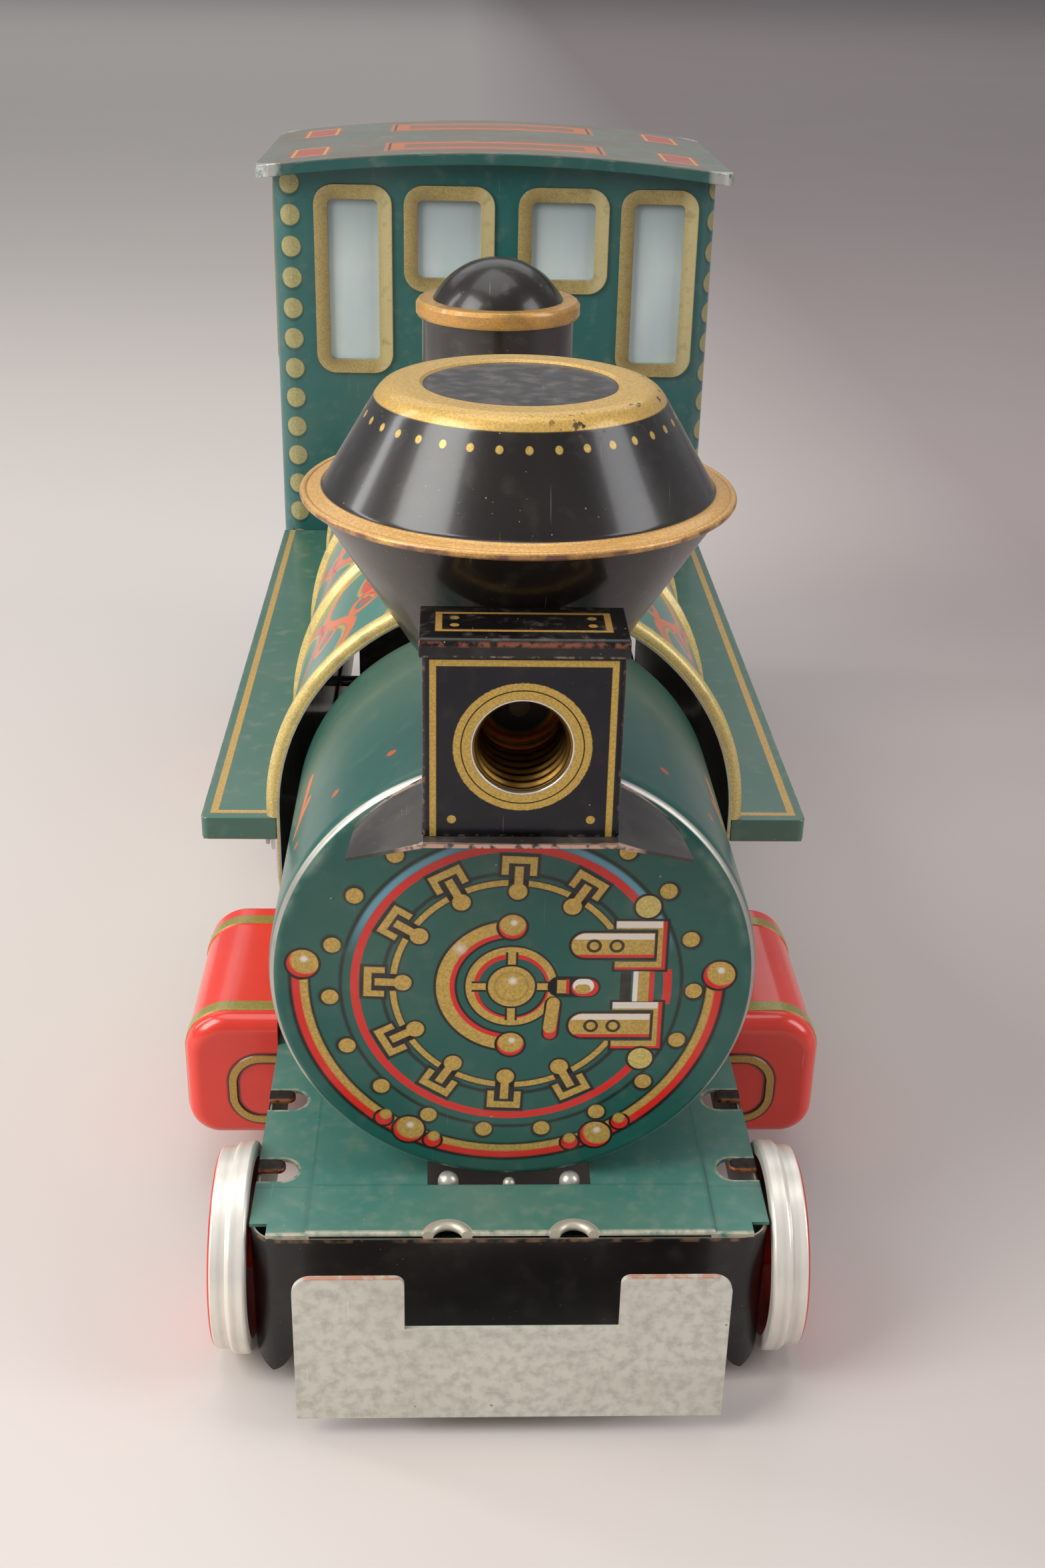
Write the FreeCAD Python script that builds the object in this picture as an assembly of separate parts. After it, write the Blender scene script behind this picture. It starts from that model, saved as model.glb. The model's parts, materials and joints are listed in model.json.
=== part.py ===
"""Tin toy steam locomotive, battery driven, as an assembly of its separate pieces.

Millimetres. +Z is up, the smokebox faces -Y, +X is the right-hand side seen from the front.
The origin is on the ground under the middle of the model. Lengths along the engine are given
as a distance behind the smokebox's front face, and at() turns such a distance into Y.
"""

import FreeCAD
import Part

import math
import os

# Overall sheet metal and position
tin = 0.6                      # sheet thickness of all pressed pieces
face_y = -143.0                # smokebox front face
running_gap = 0.05             # radial clearance of shafts in their holes

# Chassis and deck
pan_half_width = 41.4
pan_front = -14.0
pan_rear = 303.0
pan_bottom = 12.5
pan_top = 30.0
pan_corner_r = 5.0
apron_bottom = 7.0
lug_x = 38.4                   # pointed lugs below the pan's front corners
lug_z = 9.0
lug_arc_r = 7.0
lug_arc_shift = 3.4
deck_top = 31.0
deck_step_x = 32.4
deck_corner_x = 38.6           # the deck's front corners stop short and leave a gap
deck_corner_place = -10.6
tab_places = (2.8, 22.2)
tab_slot_r = 2.9
tab_slot_x = 37.6              # centre of the slot's round inner end
deck_rear = 57.5
notch_x = 10.0
notch_r = 3.2
notch_bead_r = 0.85
slot_half_width = 13.4
slot_front = -1.6
stud_r = 1.7

# Bumper plate
plate_front = -25.0
plate_half_width = 33.6
plate_bottom = 3.8
plate_top = 32.0
plate_notch_half_width = 16.5
plate_notch_z = 22.0
plate_flange_z = 9.0
plate_sheet = 0.8

# Smokebox and boiler
smokebox_r = 38.0
smokebox_rim_r = 3.5
boiler_z = deck_top + smokebox_r
boiler_r = 42.0
boiler_front = 57.5
boiler_rear = 230.6
boiler_skirt_z = 27.5
band_places = (108.0, 156.0, 208.0)
board_top = 68.0
board_outer_x = 56.0
board_lip = 4.5

# Stack and dome
stack_place = 23.7
stack_foot_r = 10.0
brim_z = 140.8
brim_r = 32.5
stack_top_z = 155.4
dome_place = 180.0
dome_r = 17.5
dome_ring_r = 18.9
dome_ring_z = 136.0

# Headlamp
lamp_front = -13.4
lamp_back = -0.8
lamp_half_width = 13.8
lamp_bottom = 101.3
lamp_top = 128.0
lamp_hole_z = 115.0
lamp_hole_r = 6.9
shelf_front = -15.8
wing_tip_x = 24.0
wing_tip_place = -13.5
wing_tip_z = 97.9

# Steam cylinders
steam_front = 39.0
steam_rear = 81.0
steam_outer_x = 58.8
steam_bottom = 9.9
steam_top = 36.0
steam_top_r = 8.0
steam_bottom_r = 6.0
steam_wall = 1.4
steam_bands = (43.8, 75.2)
steam_panel = (33.0, 50.8, 13.4, 28.4)   # x span and z span of the ring on the front

# Cab
cab_front = 230.6
cab_rear = 303.0
cab_half_width = 56.2
cab_floor_z = 54.0
cab_skirt_front = 256.0
window_frame = 3.5
window_shift = 3.0             # the row of front windows sits off centre
window_top = 158.0
tall_window = (29.0, 48.7, 111.0)      # inner x, outer x, sill of the frame
short_window = (3.0, 26.0, 132.0)
side_windows = ((240.0, 263.0), (270.0, 293.0))
roof_top = 166.6
roof_arc_r = 430.0
roof_half_width = 59.8
roof_front = 225.5
roof_rear = 308.5
roof_lip = 3.0

# Wheels
leading_place = 0.0
leading_r = 17.2
leading_tread_r = 16.4
leading_step = 3.1             # width of the wider-radius inner half of the tread
driver_places = {"front": 152.0, "rear": 226.0}
driver_r = 25.5
driver_tread_r = 24.3
axle_r = 1.5
crank_r = 10.0
crank_angle = {"left": -90.0, "right": 0.0}
rod_pin_r = 1.4

# Swivelling drive unit, about the vertical pivot
pivot_place = 62.0
drive_axle_offset = 8.0
drive_wheel_r = 13.0
motor_offset = -12.0
motor_r = 9.5
gear_module = 0.5
pinion_teeth = 8
gear_teeth = 36
plate_inner_x = 14.0
plate_outer_x = 15.0
turntable_z = 27.6
turntable_r = 26.0
pivot_r = 3.0

# Battery compartment and switch
box_front = 234.0
box_rear = 300.4
box_half_width = 36.6
box_bottom = 15.0
box_top = 50.0
cell_r = 16.6
cell_x = 17.2
cell_z = 32.4
door_pin_place = 301.0
door_pin_z = 12.9
door_pin_r = 0.6
switch_z = 41.0
switch_rest_angle = -20.0

SIDES = {"left": -1, "right": 1}


def at(place):
    """Y of a place given as its distance behind the smokebox's front face."""
    return face_y + place


def vec(x, y, z):
    return FreeCAD.Vector(x, y, z)


def block(x_span, y_span, z_span):
    """A box from three (low, high) spans."""
    low = vec(min(x_span), min(y_span), min(z_span))
    size = [max(s) - min(s) for s in (x_span, y_span, z_span)]
    return Part.makeBox(size[0], size[1], size[2], low)


def rod_x(x_span, y, z, r):
    return Part.makeCylinder(r, max(x_span) - min(x_span), vec(min(x_span), y, z), vec(1, 0, 0))


def rod_y(y_span, x, z, r):
    return Part.makeCylinder(r, max(y_span) - min(y_span), vec(x, min(y_span), z), vec(0, 1, 0))


def rod_z(z_span, x, y, r):
    return Part.makeCylinder(r, max(z_span) - min(z_span), vec(x, y, min(z_span)), vec(0, 0, 1))


def face_of(points):
    return Part.Face(Part.makePolygon(points + points[:1]))


def prism_x(outline, x_span):
    """An outline of (y, z) points drawn along X."""
    return face_of([vec(min(x_span), y, z) for y, z in outline]).extrude(
        vec(max(x_span) - min(x_span), 0, 0))


def prism_y(outline, y_span):
    """An outline of (x, z) points drawn along Y."""
    return face_of([vec(x, min(y_span), z) for x, z in outline]).extrude(
        vec(0, max(y_span) - min(y_span), 0))


def turned_z(profile, x, y):
    """A closed (radius, z) profile turned about a vertical axis."""
    return face_of([vec(x + r, y, z) for r, z in profile]).revolve(vec(x, y, 0), vec(0, 0, 1), 360)


def turned_y(profile, x, z):
    """A closed (radius, y) profile turned about an axis along the engine."""
    return face_of([vec(x + r, y, z) for r, y in profile]).revolve(vec(x, 0, z), vec(0, 1, 0), 360)


def turned_x(profile, y, z):
    """A closed (radius, x) profile turned about an axis across the engine."""
    return face_of([vec(x, y + r, z) for r, x in profile]).revolve(vec(0, y, z), vec(1, 0, 0), 360)


def edges_along(shape, axis, keep):
    """Straight edges parallel to an axis whose middle passes the keep test."""
    found = []
    for edge in shape.Edges:
        if not isinstance(edge.Curve, Part.Line):
            continue
        run = edge.Vertexes[-1].Point - edge.Vertexes[0].Point
        if run.Length > 1e-6 and abs(abs(run.normalize().dot(axis)) - 1) < 1e-6:
            if keep(edge.CenterOfMass):
                found.append(edge)
    return found


def rounded(shape, axis, radius, keep=lambda p: True):
    return shape.makeFillet(radius, edges_along(shape, axis, keep))


def circles_at(shape, axis_name, value):
    """Round edges lying in the plane where the named coordinate has the value."""
    return [e for e in shape.Edges if isinstance(e.Curve, Part.Circle)
            and abs(getattr(e.CenterOfMass, axis_name) - value) < 1e-6]


def mirrored(shape):
    return shape.mirror(vec(0, 0, 0), vec(1, 0, 0))


def arc_sheet(radius, thickness, y_span, x_half, z_centre):
    """The part of a tube along Y that lies within x_half of the middle, above its centre."""
    outer = rod_y(y_span, 0, z_centre, radius)
    sheet = outer.cut(rod_y(y_span, 0, z_centre, radius - thickness))
    return sheet.common(block((-x_half, x_half), y_span, (z_centre, z_centre + radius)))


def pan_skirt(y_span):
    """The pan's wall below its bottom edge: the apron and a pointed lug at each front corner."""
    z_span = (lug_z - lug_arc_r, pan_bottom)
    ring = rounded(block((-pan_half_width, pan_half_width), y_span, z_span), vec(0, 0, 1), pan_corner_r,
                   lambda p: p.y < y_span[0] + 1)
    inner_x = pan_half_width - tin
    ring = ring.cut(rounded(block((-inner_x, inner_x), (y_span[0] + tin, y_span[1] - tin), z_span),
                            vec(0, 0, 1), pan_corner_r - tin, lambda p: p.y < y_span[0] + 2))
    reach = (y_span[0] - 1, y_span[0] + pan_corner_r)
    keep = block((-lug_x, lug_x), (y_span[0] - 1, y_span[0] + 2), (apron_bottom, pan_bottom))
    for side in SIDES.values():
        leaf = rod_y(reach, side * (lug_x - lug_arc_shift), lug_z, lug_arc_r)
        keep = keep.fuse(leaf.common(rod_y(reach, side * (lug_x + lug_arc_shift), lug_z, lug_arc_r)))
    return ring.common(keep)


def chassis_pan():
    """Black pan: front apron and side walls in one sheet, with pointed lugs at the front corners."""
    y_span = (at(pan_front), at(pan_rear))
    front = lambda p: p.y < at(pan_front) + 1
    outer = rounded(block((-pan_half_width, pan_half_width), y_span, (pan_bottom, pan_top)),
                    vec(0, 0, 1), pan_corner_r, front)
    inner_x = pan_half_width - tin
    inner = rounded(block((-inner_x, inner_x), (y_span[0] + tin, y_span[1] - tin),
                          (pan_bottom, pan_top)),
                    vec(0, 0, 1), pan_corner_r - tin, lambda p: p.y < at(pan_front) + 2)
    pan = outer.cut(inner).fuse(pan_skirt(y_span))
    hole = axle_r + running_gap
    pan = pan.cut(rod_x((-50, 50), at(leading_place), leading_r, hole))
    for place in driver_places.values():
        pan = pan.cut(rod_x((-50, 50), at(place), driver_r, hole))
    return pan.cut(rod_x((-50, 50), at(door_pin_place), door_pin_z, door_pin_r))


def front_deck():
    """Green deck: raised middle, slots for its tabs, rolled notches in front, a slot under the smokebox."""
    side_top = pan_top + tin
    y_span = (at(pan_front + 0.5), at(deck_rear))
    deck_z = (pan_top - 1, deck_top + 1)
    sides = block((-pan_half_width, pan_half_width), y_span, (pan_top, side_top))
    middle_low = deck_top - tin
    middle = block((-deck_step_x, deck_step_x), y_span, (middle_low, deck_top))
    middle = rounded(middle, vec(1, 0, 0), 0.5, lambda p: p.y < y_span[0] + 1 and p.z > middle_low + 0.1)
    hollow = block((tin - deck_step_x, deck_step_x - tin), y_span, (pan_top, middle_low))
    deck = sides.fuse(middle).cut(hollow)
    deck = deck.cut(block((-slot_half_width, slot_half_width), (at(slot_front), at(5.0)), deck_z))
    notch_y = at(pan_front - 0.3)
    for side in SIDES.values():
        corner_y = (y_span[0] - 1, at(deck_corner_place))
        deck = deck.cut(block((side * deck_corner_x, side * 50), corner_y, deck_z))
        deck = deck.cut(rod_z(deck_z, side * notch_x, notch_y, notch_r))
        bead = Part.makeTorus(notch_r, notch_bead_r, vec(side * notch_x, notch_y, deck_top - 0.5))
        deck = deck.fuse(bead.common(block((-50, 50), (y_span[0], y_span[0] + 9), (pan_top, deck_top + 2))))
        for place in tab_places:
            slot = rod_z(deck_z, side * tab_slot_x, at(place), tab_slot_r)
            slot = slot.fuse(block((side * tab_slot_x, side * 50),
                                   (at(place - tab_slot_r), at(place + tab_slot_r)), deck_z))
            deck = deck.cut(slot)
    return deck.removeSplitter()


def body_tabs():
    """Tabs bent over into the deck's side slots, and round-ended tabs under the smokebox."""
    tabs = []
    for side in SIDES.values():
        for place in tab_places:
            tab = block((side * 36.9, side * pan_half_width), (at(place - 0.3), at(place + 2.6)),
                        (pan_top + 0.05, pan_top + 0.95))
            tab = rounded(tab, vec(0, 0, 1), 1.2, lambda p: abs(p.x) < 37)
            tab = rounded(tab, vec(0, 1, 0), 0.5, lambda p: abs(p.x) < 37 and p.z > pan_top + 0.5)
            tabs.append(tab)
        stud = rod_z((deck_top - 5.0, deck_top - 0.7), side * notch_x, at(0.3), stud_r)
        stud = stud.fuse(Part.makeSphere(stud_r, vec(side * notch_x, at(0.3), deck_top - 0.7)))
        tabs.append(stud.removeSplitter())
    middle = rod_z((deck_top - 4.0, deck_top - 0.8), 0, at(-0.2), 1.0)
    tabs.append(middle.fuse(Part.makeSphere(1.0, vec(0, at(-0.2), deck_top - 0.8))).removeSplitter())
    return Part.makeCompound(tabs)


def bumper_plate():
    """Bare tinplate bumper bracket with two rounded ears and a low flange back to the apron."""
    y_span = (at(plate_front), at(plate_front) + plate_sheet)
    plate = block((-plate_half_width, plate_half_width), y_span, (plate_bottom, plate_top))
    plate = rounded(plate, vec(0, 1, 0), 3.0, lambda p: p.z > plate_top - 1)
    plate = plate.cut(block((-plate_notch_half_width, plate_notch_half_width), y_span,
                            (plate_notch_z, plate_top + 1)))
    plate = rounded(plate, vec(0, 1, 0), 1.5,
                    lambda p: abs(abs(p.x) - plate_notch_half_width) < 0.1 and p.z > plate_top - 1)
    flange = block((-plate_notch_half_width, plate_notch_half_width), (y_span[1], at(pan_front)),
                   (plate_flange_z - plate_sheet, plate_flange_z))
    return plate.fuse(flange)


def base_plate(y_span, corner_r):
    half = pan_half_width - tin
    plate = block((-half, half), y_span, (pan_bottom + 0.5, pan_bottom + 0.5 + tin))
    plate = rounded(plate, vec(0, 0, 1), corner_r, lambda p: p.y < y_span[0] + 1)
    ribs = [block((x - 1.5, x + 1.5), (y_span[0] + 4, y_span[1] - 4),
                  (pan_bottom + 0.5 + tin, pan_bottom + 0.9 + tin)) for x in (-24.0, 0.0, 24.0)]
    return plate.fuse(ribs)


def smokebox_shell():
    """Deep-drawn cup with a rounded front rim, open behind, with slots for the lamp bracket."""
    span = (at(0), at(boiler_front))
    outer = rod_y(span, 0, boiler_z, smokebox_r)
    outer = outer.makeFillet(smokebox_rim_r, circles_at(outer, "y", at(0)))
    inner = rod_y((at(tin), span[1]), 0, boiler_z, smokebox_r - tin)
    inner = inner.makeFillet(smokebox_rim_r - tin, circles_at(inner, "y", at(tin)))
    shell = outer.cut(inner)
    for side in SIDES.values():
        slot = block((side * 20.9, side * 24.9), (at(-1), at(6)), (boiler_z + 28.0, boiler_z + 29.3))
        shell = shell.cut(slot)
    return shell


def boiler_shell():
    """Inverted-U wrapper with a rolled bead at its mouth and three raised bands."""
    span = (at(boiler_front), at(boiler_rear))
    skin = arc_sheet(boiler_r, tin, span, boiler_r, boiler_z)
    for side in SIDES.values():
        skin = skin.fuse(block((side * (boiler_r - tin), side * boiler_r), span,
                               (boiler_skirt_z, boiler_z)))
    bead = Part.makeTorus(boiler_r + 0.3, 1.7, vec(0, at(boiler_front) + 1.7, boiler_z), vec(0, 1, 0))
    rings = [bead]
    for place in band_places:
        low, high, raised = at(place - 2.2), at(place + 2.2), boiler_r + 1.1
        rings.append(turned_y([(boiler_r - tin, low), (boiler_r, low), (raised, low + 1.0),
                               (raised, high - 1.0), (boiler_r, high), (boiler_r - tin, high)],
                              0, boiler_z))
    above_boards = block((-60, 60), span, (board_top, 200))
    hollow = rod_y(span, 0, boiler_z, boiler_r - tin)
    hollow = hollow.fuse(block((tin - boiler_r, boiler_r - tin), span, (boiler_skirt_z, boiler_z)))
    for ring in rings:
        skin = skin.fuse(ring.common(above_boards).cut(hollow))
    return skin.removeSplitter()


def running_board(side):
    """Tin board along the boiler with its front and outer edges turned down."""
    span = (at(boiler_front), at(boiler_rear))
    outer = (side * boiler_r, side * board_outer_x)
    solid = block(outer, span, (board_top - board_lip, board_top))
    solid = rounded(solid, vec(0, 0, 1), 1.5,
                    lambda p: abs(p.x) > board_outer_x - 1 and p.y < span[0] + 1)
    hollow = block((side * boiler_r, side * (board_outer_x - tin)), (span[0] + tin, span[1]),
                   (board_top - board_lip, board_top - tin))
    return solid.cut(hollow)


def steam_cylinder(side):
    """Moulded box-shaped steam cylinder with two raised bands and a ring on its front."""
    span = (at(steam_front), at(steam_rear))
    z_span = (steam_bottom, steam_top)
    middle_z = sum(z_span) / 2

    def section(x_outer, y_span, grow):
        body = block((20, x_outer + grow), y_span, (steam_bottom - grow, steam_top + grow))
        body = rounded(body, vec(0, 1, 0), steam_top_r + grow, lambda p: p.x > 50 and p.z > middle_z)
        return rounded(body, vec(0, 1, 0), steam_bottom_r + grow, lambda p: p.x > 50 and p.z < middle_z)

    def rim(body, y):
        ends = [e for e in body.Edges if e.BoundBox.XMax > 21]
        return [e for e in ends if max(abs(v.Y - y) for v in e.Vertexes) < 1e-6]

    outer = section(steam_outer_x, span, 0.0)
    outer = outer.makeFillet(3.0, rim(outer, span[0]))
    outer = outer.makeFillet(1.5, rim(outer, span[1]))
    for place in steam_bands:
        outer = outer.fuse(section(steam_outer_x, (at(place - 1.5), at(place + 1.5)), 0.25))
    x_span, panel_z = steam_panel[:2], steam_panel[2:]
    ring = rounded(block(x_span, (span[0] - 0.35, span[0] + 0.5), panel_z), vec(0, 1, 0), 6.0)
    ring = ring.cut(rounded(block(inset(x_span, 1.5), (span[0] - 1, span[0]), inset(panel_z, 1.5)),
                            vec(0, 1, 0), 4.5))
    outer = outer.fuse(ring)
    shell = outer.cut(section(steam_outer_x, inset(span, steam_wall), -steam_wall))
    shell = shell.cut(block((0, pan_half_width), (span[0] - 1, span[1] + 1), (0, 60)))
    shell = shell.cut(block((0, boiler_r), (at(boiler_front), span[1] + 1), (boiler_skirt_z, 60)))
    return shell if side > 0 else mirrored(shell)


def stack_lower_cone():
    """Flared lower half of the diamond stack, standing on the smokebox."""
    foot_z = boiler_z + smokebox_r - 2.5
    profile = [(stack_foot_r, foot_z), (stack_foot_r, 108.5), (16.0, 116.5), (28.0, 135.5),
               (brim_r - 1.6, brim_z - 1.0),
               (brim_r - 1.6 - tin, brim_z - 1.0), (28.0 - tin, 135.9), (16.0 - tin, 116.9),
               (stack_foot_r - tin, 108.9), (stack_foot_r - tin, foot_z)]
    cone = turned_z(profile, 0, at(stack_place))
    return cone.cut(rod_y((at(0), at(boiler_front)), 0, boiler_z, smokebox_r))


def stack_upper_cone():
    """Upper half of the diamond stack with the rolled brim that holds the two halves together."""
    low = brim_z - 0.4
    profile = [(brim_r - 1.0, low), (30.0, low + 0.9), (21.3, 153.6), (20.2, 154.9), (18.6, stack_top_z),
               (14.6, stack_top_z), (14.2, stack_top_z - 0.4), (0, stack_top_z - 0.4),
               (0, stack_top_z - 1.0), (14.5, stack_top_z - 1.0), (18.4, stack_top_z - tin),
               (19.8, 154.3), (20.8, 153.2), (29.4, low + 0.3), (brim_r - 1.6, low - 0.6)]
    cone = turned_z(profile, 0, at(stack_place))
    seam = Part.makeTorus(brim_r - 1.2, 1.2, vec(0, at(stack_place), brim_z - 0.6), vec(0, 0, 1))
    lower = turned_z([(0, 100), (stack_foot_r, 100), (stack_foot_r, 108.5), (16.0, 116.5), (28.0, 135.5),
                      (brim_r - 1.6, brim_z - 1.0), (0, brim_z - 1.0)], 0, at(stack_place))
    return cone.fuse(seam).cut(lower)


def dome_body():
    """Round dome wall with a rolled ring round its top, cut to the boiler's curve below."""
    top = dome_ring_z + 3.8
    profile = [(dome_r, boiler_z + 36), (dome_r, dome_ring_z), (dome_ring_r - 0.5, dome_ring_z),
               (dome_ring_r, dome_ring_z + 0.8), (dome_ring_r, top - 0.9), (dome_ring_r - 0.7, top),
               (14.0, top), (14.0, top - tin), (dome_r - tin, top - tin), (dome_r - tin, boiler_z + 36)]
    wall = turned_z(profile, 0, at(dome_place))
    return wall.cut(rod_y((at(dome_place - 30), at(dome_place + 30)), 0, boiler_z, boiler_r))


def dome_cap():
    """Domed cap that closes the ring."""
    base, cap_r, rise = dome_ring_z + 3.8, 15.0, 9.2
    ball_r = (cap_r ** 2 + rise ** 2) / (2 * rise)
    centre = vec(0, at(dome_place), base + rise - ball_r)
    cap = Part.makeSphere(ball_r, centre).cut(Part.makeSphere(ball_r - tin, centre))
    return cap.common(rod_z((base, base + rise + 1), 0, at(dome_place), cap_r + 1))


def headlamp_box():
    """Front and sides of the lamp in one folded sheet, with the round lamp hole."""
    half = lamp_half_width
    y_span = (at(lamp_front), at(lamp_back))
    outer = rounded(block((-half, half), y_span, (lamp_bottom, lamp_top)), vec(0, 0, 1), 0.8,
                    lambda p: p.y < at(lamp_front) + 0.1)
    inner = block((tin - half, half - tin), (y_span[0] + tin, y_span[1] - tin), (lamp_bottom, lamp_top))
    box = outer.cut(inner)
    return box.cut(rod_y((y_span[0] - 1, y_span[1] + 1), 0, lamp_hole_z, lamp_hole_r))


def headlamp_cap():
    """Lid of the lamp, with its front and side edges turned down over the box."""
    half = lamp_half_width + 0.4
    y_span = (at(lamp_front - 0.4), at(lamp_back))
    top = lamp_top + 1.5
    outer = block((-half, half), y_span, (lamp_top - 1.2, top))
    outer = rounded(outer, vec(1, 0, 0), 1.0, lambda p: p.z > top - 0.1 and p.y < y_span[0] + 0.1)
    outer = outer.cut(block((-lamp_half_width, lamp_half_width), (at(lamp_front), y_span[1]),
                            (lamp_top - 1.2, lamp_top)))
    return outer.cut(block((1.2 - half, half - 1.2), (y_span[0] + 1.2, y_span[1] - 0.8),
                           (lamp_top, top - 0.5)))


def headlamp_bracket():
    """Shelf under the lamp with two wings that drape back onto the smokebox's rounded rim."""
    shelf_top = lamp_bottom
    half = lamp_half_width
    shelf = block((-half, half), (at(shelf_front), at(0)), (shelf_top - tin, shelf_top))
    inner_x = half - 0.2
    smokebox = rod_y((at(0), at(boiler_front)), 0, boiler_z, smokebox_r)
    smokebox = smokebox.makeFillet(smokebox_rim_r, circles_at(smokebox, "y", at(0)))

    def on_rim(x, place):
        """A point just above the rounded rim, at a distance behind the face."""
        inward = smokebox_rim_r - math.sqrt(smokebox_rim_r ** 2 - (smokebox_rim_r - place) ** 2)
        rise = math.sqrt((smokebox_r - inward) ** 2 - x ** 2)
        return vec(x, at(place), boiler_z + rise + tin + 0.05)

    pieces = [shelf]
    for side in SIDES.values():
        front = Part.makeLine(vec(side * inner_x, at(shelf_front), shelf_top),
                              vec(side * (wing_tip_x + 0.6), at(wing_tip_place), wing_tip_z))
        rear = Part.Arc(on_rim(side * inner_x, 0.9), on_rim(side * (inner_x + wing_tip_x) / 2, 0.55),
                        on_rim(side * wing_tip_x, 0.2)).toShape()
        wing = Part.makeRuledSurface(front, rear).extrude(vec(0, 0, -tin)).cut(smokebox)
        wing = wing.cut(block((-half, half), (at(lamp_front), at(lamp_back)), (shelf_top, lamp_top)))
        pieces.append(wing)
    return pieces[0].fuse(pieces[1:])


def lamp_socket():
    """Ribbed brass tube behind the lamp hole, closed behind by its contact plate."""
    front, rear = at(lamp_front) + tin, at(3.2)
    wall_out, wall_in, rib_in = lamp_hole_r + 0.5, 6.6, 6.1
    pitch = 2.2
    profile = [(0.0, rear), (wall_out - 0.7, rear), (wall_out - 0.7, at(lamp_back) - tin),
               (wall_out, at(lamp_back) - tin), (wall_out, front), (wall_in, front)]
    ribs = int((rear - 1.2 - front) / pitch)
    for k in range(ribs):
        start = front + k * pitch
        profile += [(wall_in, start + 0.5), (rib_in, start + pitch / 2), (wall_in, start + pitch - 0.3)]
    profile += [(wall_in, rear - 1.0), (0.0, rear - 1.0)]
    tube = turned_y(profile, 0, lamp_hole_z)
    contact = rod_y((rear - 2.4, rear - 1.0), 0, lamp_hole_z, 1.6)
    return tube.fuse(contact)


def window_frames():
    """(x span, z span) of the four front windows, outside edges of their frames."""
    frames = []
    for side in SIDES.values():
        for inner_x, outer_x, sill in (tall_window, short_window):
            x_span = (side * inner_x + window_shift, side * outer_x + window_shift)
            frames.append((x_span, (sill, window_top)))
    return frames


def inset(span, margin):
    return (min(span) + margin, max(span) - margin)


def cab_shell():
    """Front wall and both sides in one folded sheet, with raised frames round the windows."""
    y_span = (at(cab_front), at(cab_rear))
    half = cab_half_width
    z_span = (pan_top + 1, roof_top)
    front = lambda p: p.y < y_span[0] + 1
    outer = rounded(block((-half, half), y_span, z_span), vec(0, 0, 1), 5.0, front)
    inner = rounded(block((tin - half, half - tin), (y_span[0] + tin, y_span[1]), z_span),
                    vec(0, 0, 1), 5.0 - tin, lambda p: p.y < y_span[0] + 2)
    shell = outer.cut(inner)
    raised = 0.7
    for x_span, sill_span in window_frames():
        frame = block(x_span, (y_span[0] - raised, y_span[0] + tin), sill_span)
        frame = rounded(frame, vec(0, 1, 0), 5.0)
        hole = block(inset(x_span, window_frame), (y_span[0] - 2, y_span[0] + 2),
                     inset(sill_span, window_frame))
        shell = shell.fuse(frame).cut(rounded(hole, vec(0, 1, 0), 1.5))
    for places in side_windows:
        for side in SIDES.values():
            wall = (side * (half - tin), side * (half + raised))
            window_y = (at(places[0]), at(places[1]))
            frame = rounded(block(wall, window_y, (tall_window[2], window_top)), vec(1, 0, 0), 5.0)
            hole = block((side * (half - 2), side * (half + 2)), inset(window_y, window_frame),
                         inset((tall_window[2], window_top), window_frame))
            shell = shell.fuse(frame).cut(rounded(hole, vec(1, 0, 0), 1.5))
    arch_r = 6.0
    below = block((-60, 60), (y_span[0] - 2, at(cab_skirt_front)), (20, cab_floor_z - tin))
    shell = shell.cut(rounded(below, vec(1, 0, 0), arch_r, lambda p: p.y > y_span[0] + 5 and p.z > 40))
    roof_space = block((-60, 60), (y_span[0] - 2, y_span[1] + 2), (150, 175)).cut(
        rod_y((y_span[0] - 3, y_span[1] + 3), 0, roof_top - roof_arc_r, roof_arc_r - tin))
    return shell.cut(roof_space)


def cab_glazing():
    """Clear sheet behind the front windows."""
    return block((-47, 51), (at(cab_front) + tin, at(cab_front) + tin + 0.4),
                 (tall_window[2] - 1, window_top + 2))


def cab_roof():
    """Shallow arched roof with its edges turned down all round."""
    y_span = (at(roof_front), at(roof_rear))
    centre_z = roof_top - roof_arc_r
    z_span = (roof_top - 14, roof_top)

    def slab(half, span, radius, corner):
        body = rounded(block((-half, half), span, z_span), vec(0, 0, 1), corner)
        return body.common(rod_y((span[0] - 1, span[1] + 1), 0, centre_z, radius))

    outer = slab(roof_half_width, y_span, roof_arc_r, 4.0)
    outer = outer.cut(rod_y((y_span[0] - 1, y_span[1] + 1), 0, centre_z, roof_arc_r - roof_lip))
    return outer.cut(slab(roof_half_width - tin, inset(y_span, tin), roof_arc_r - tin, 4.0 - tin))


def cab_floor():
    half = cab_half_width - tin
    y_span = (at(cab_front) + tin, at(cab_rear))
    floor = block((-half, half), y_span, (cab_floor_z - tin, cab_floor_z))
    return rounded(floor, vec(0, 0, 1), 5.0 - tin, lambda p: p.y < y_span[0] + 1)


def rear_beam():
    """Panel that closes the engine behind, below the cab floor, with the switch's pivot hole."""
    beam = block((-cab_half_width, cab_half_width), (at(cab_rear), at(cab_rear) + tin),
                 (pan_top - 6, cab_floor_z))
    beam = rounded(beam, vec(0, 1, 0), 4.0, lambda p: p.z < pan_top)
    return beam.cut(rod_y((at(cab_rear) - 1, at(cab_rear) + 2), 0, switch_z, 1.5 + running_gap))


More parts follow.
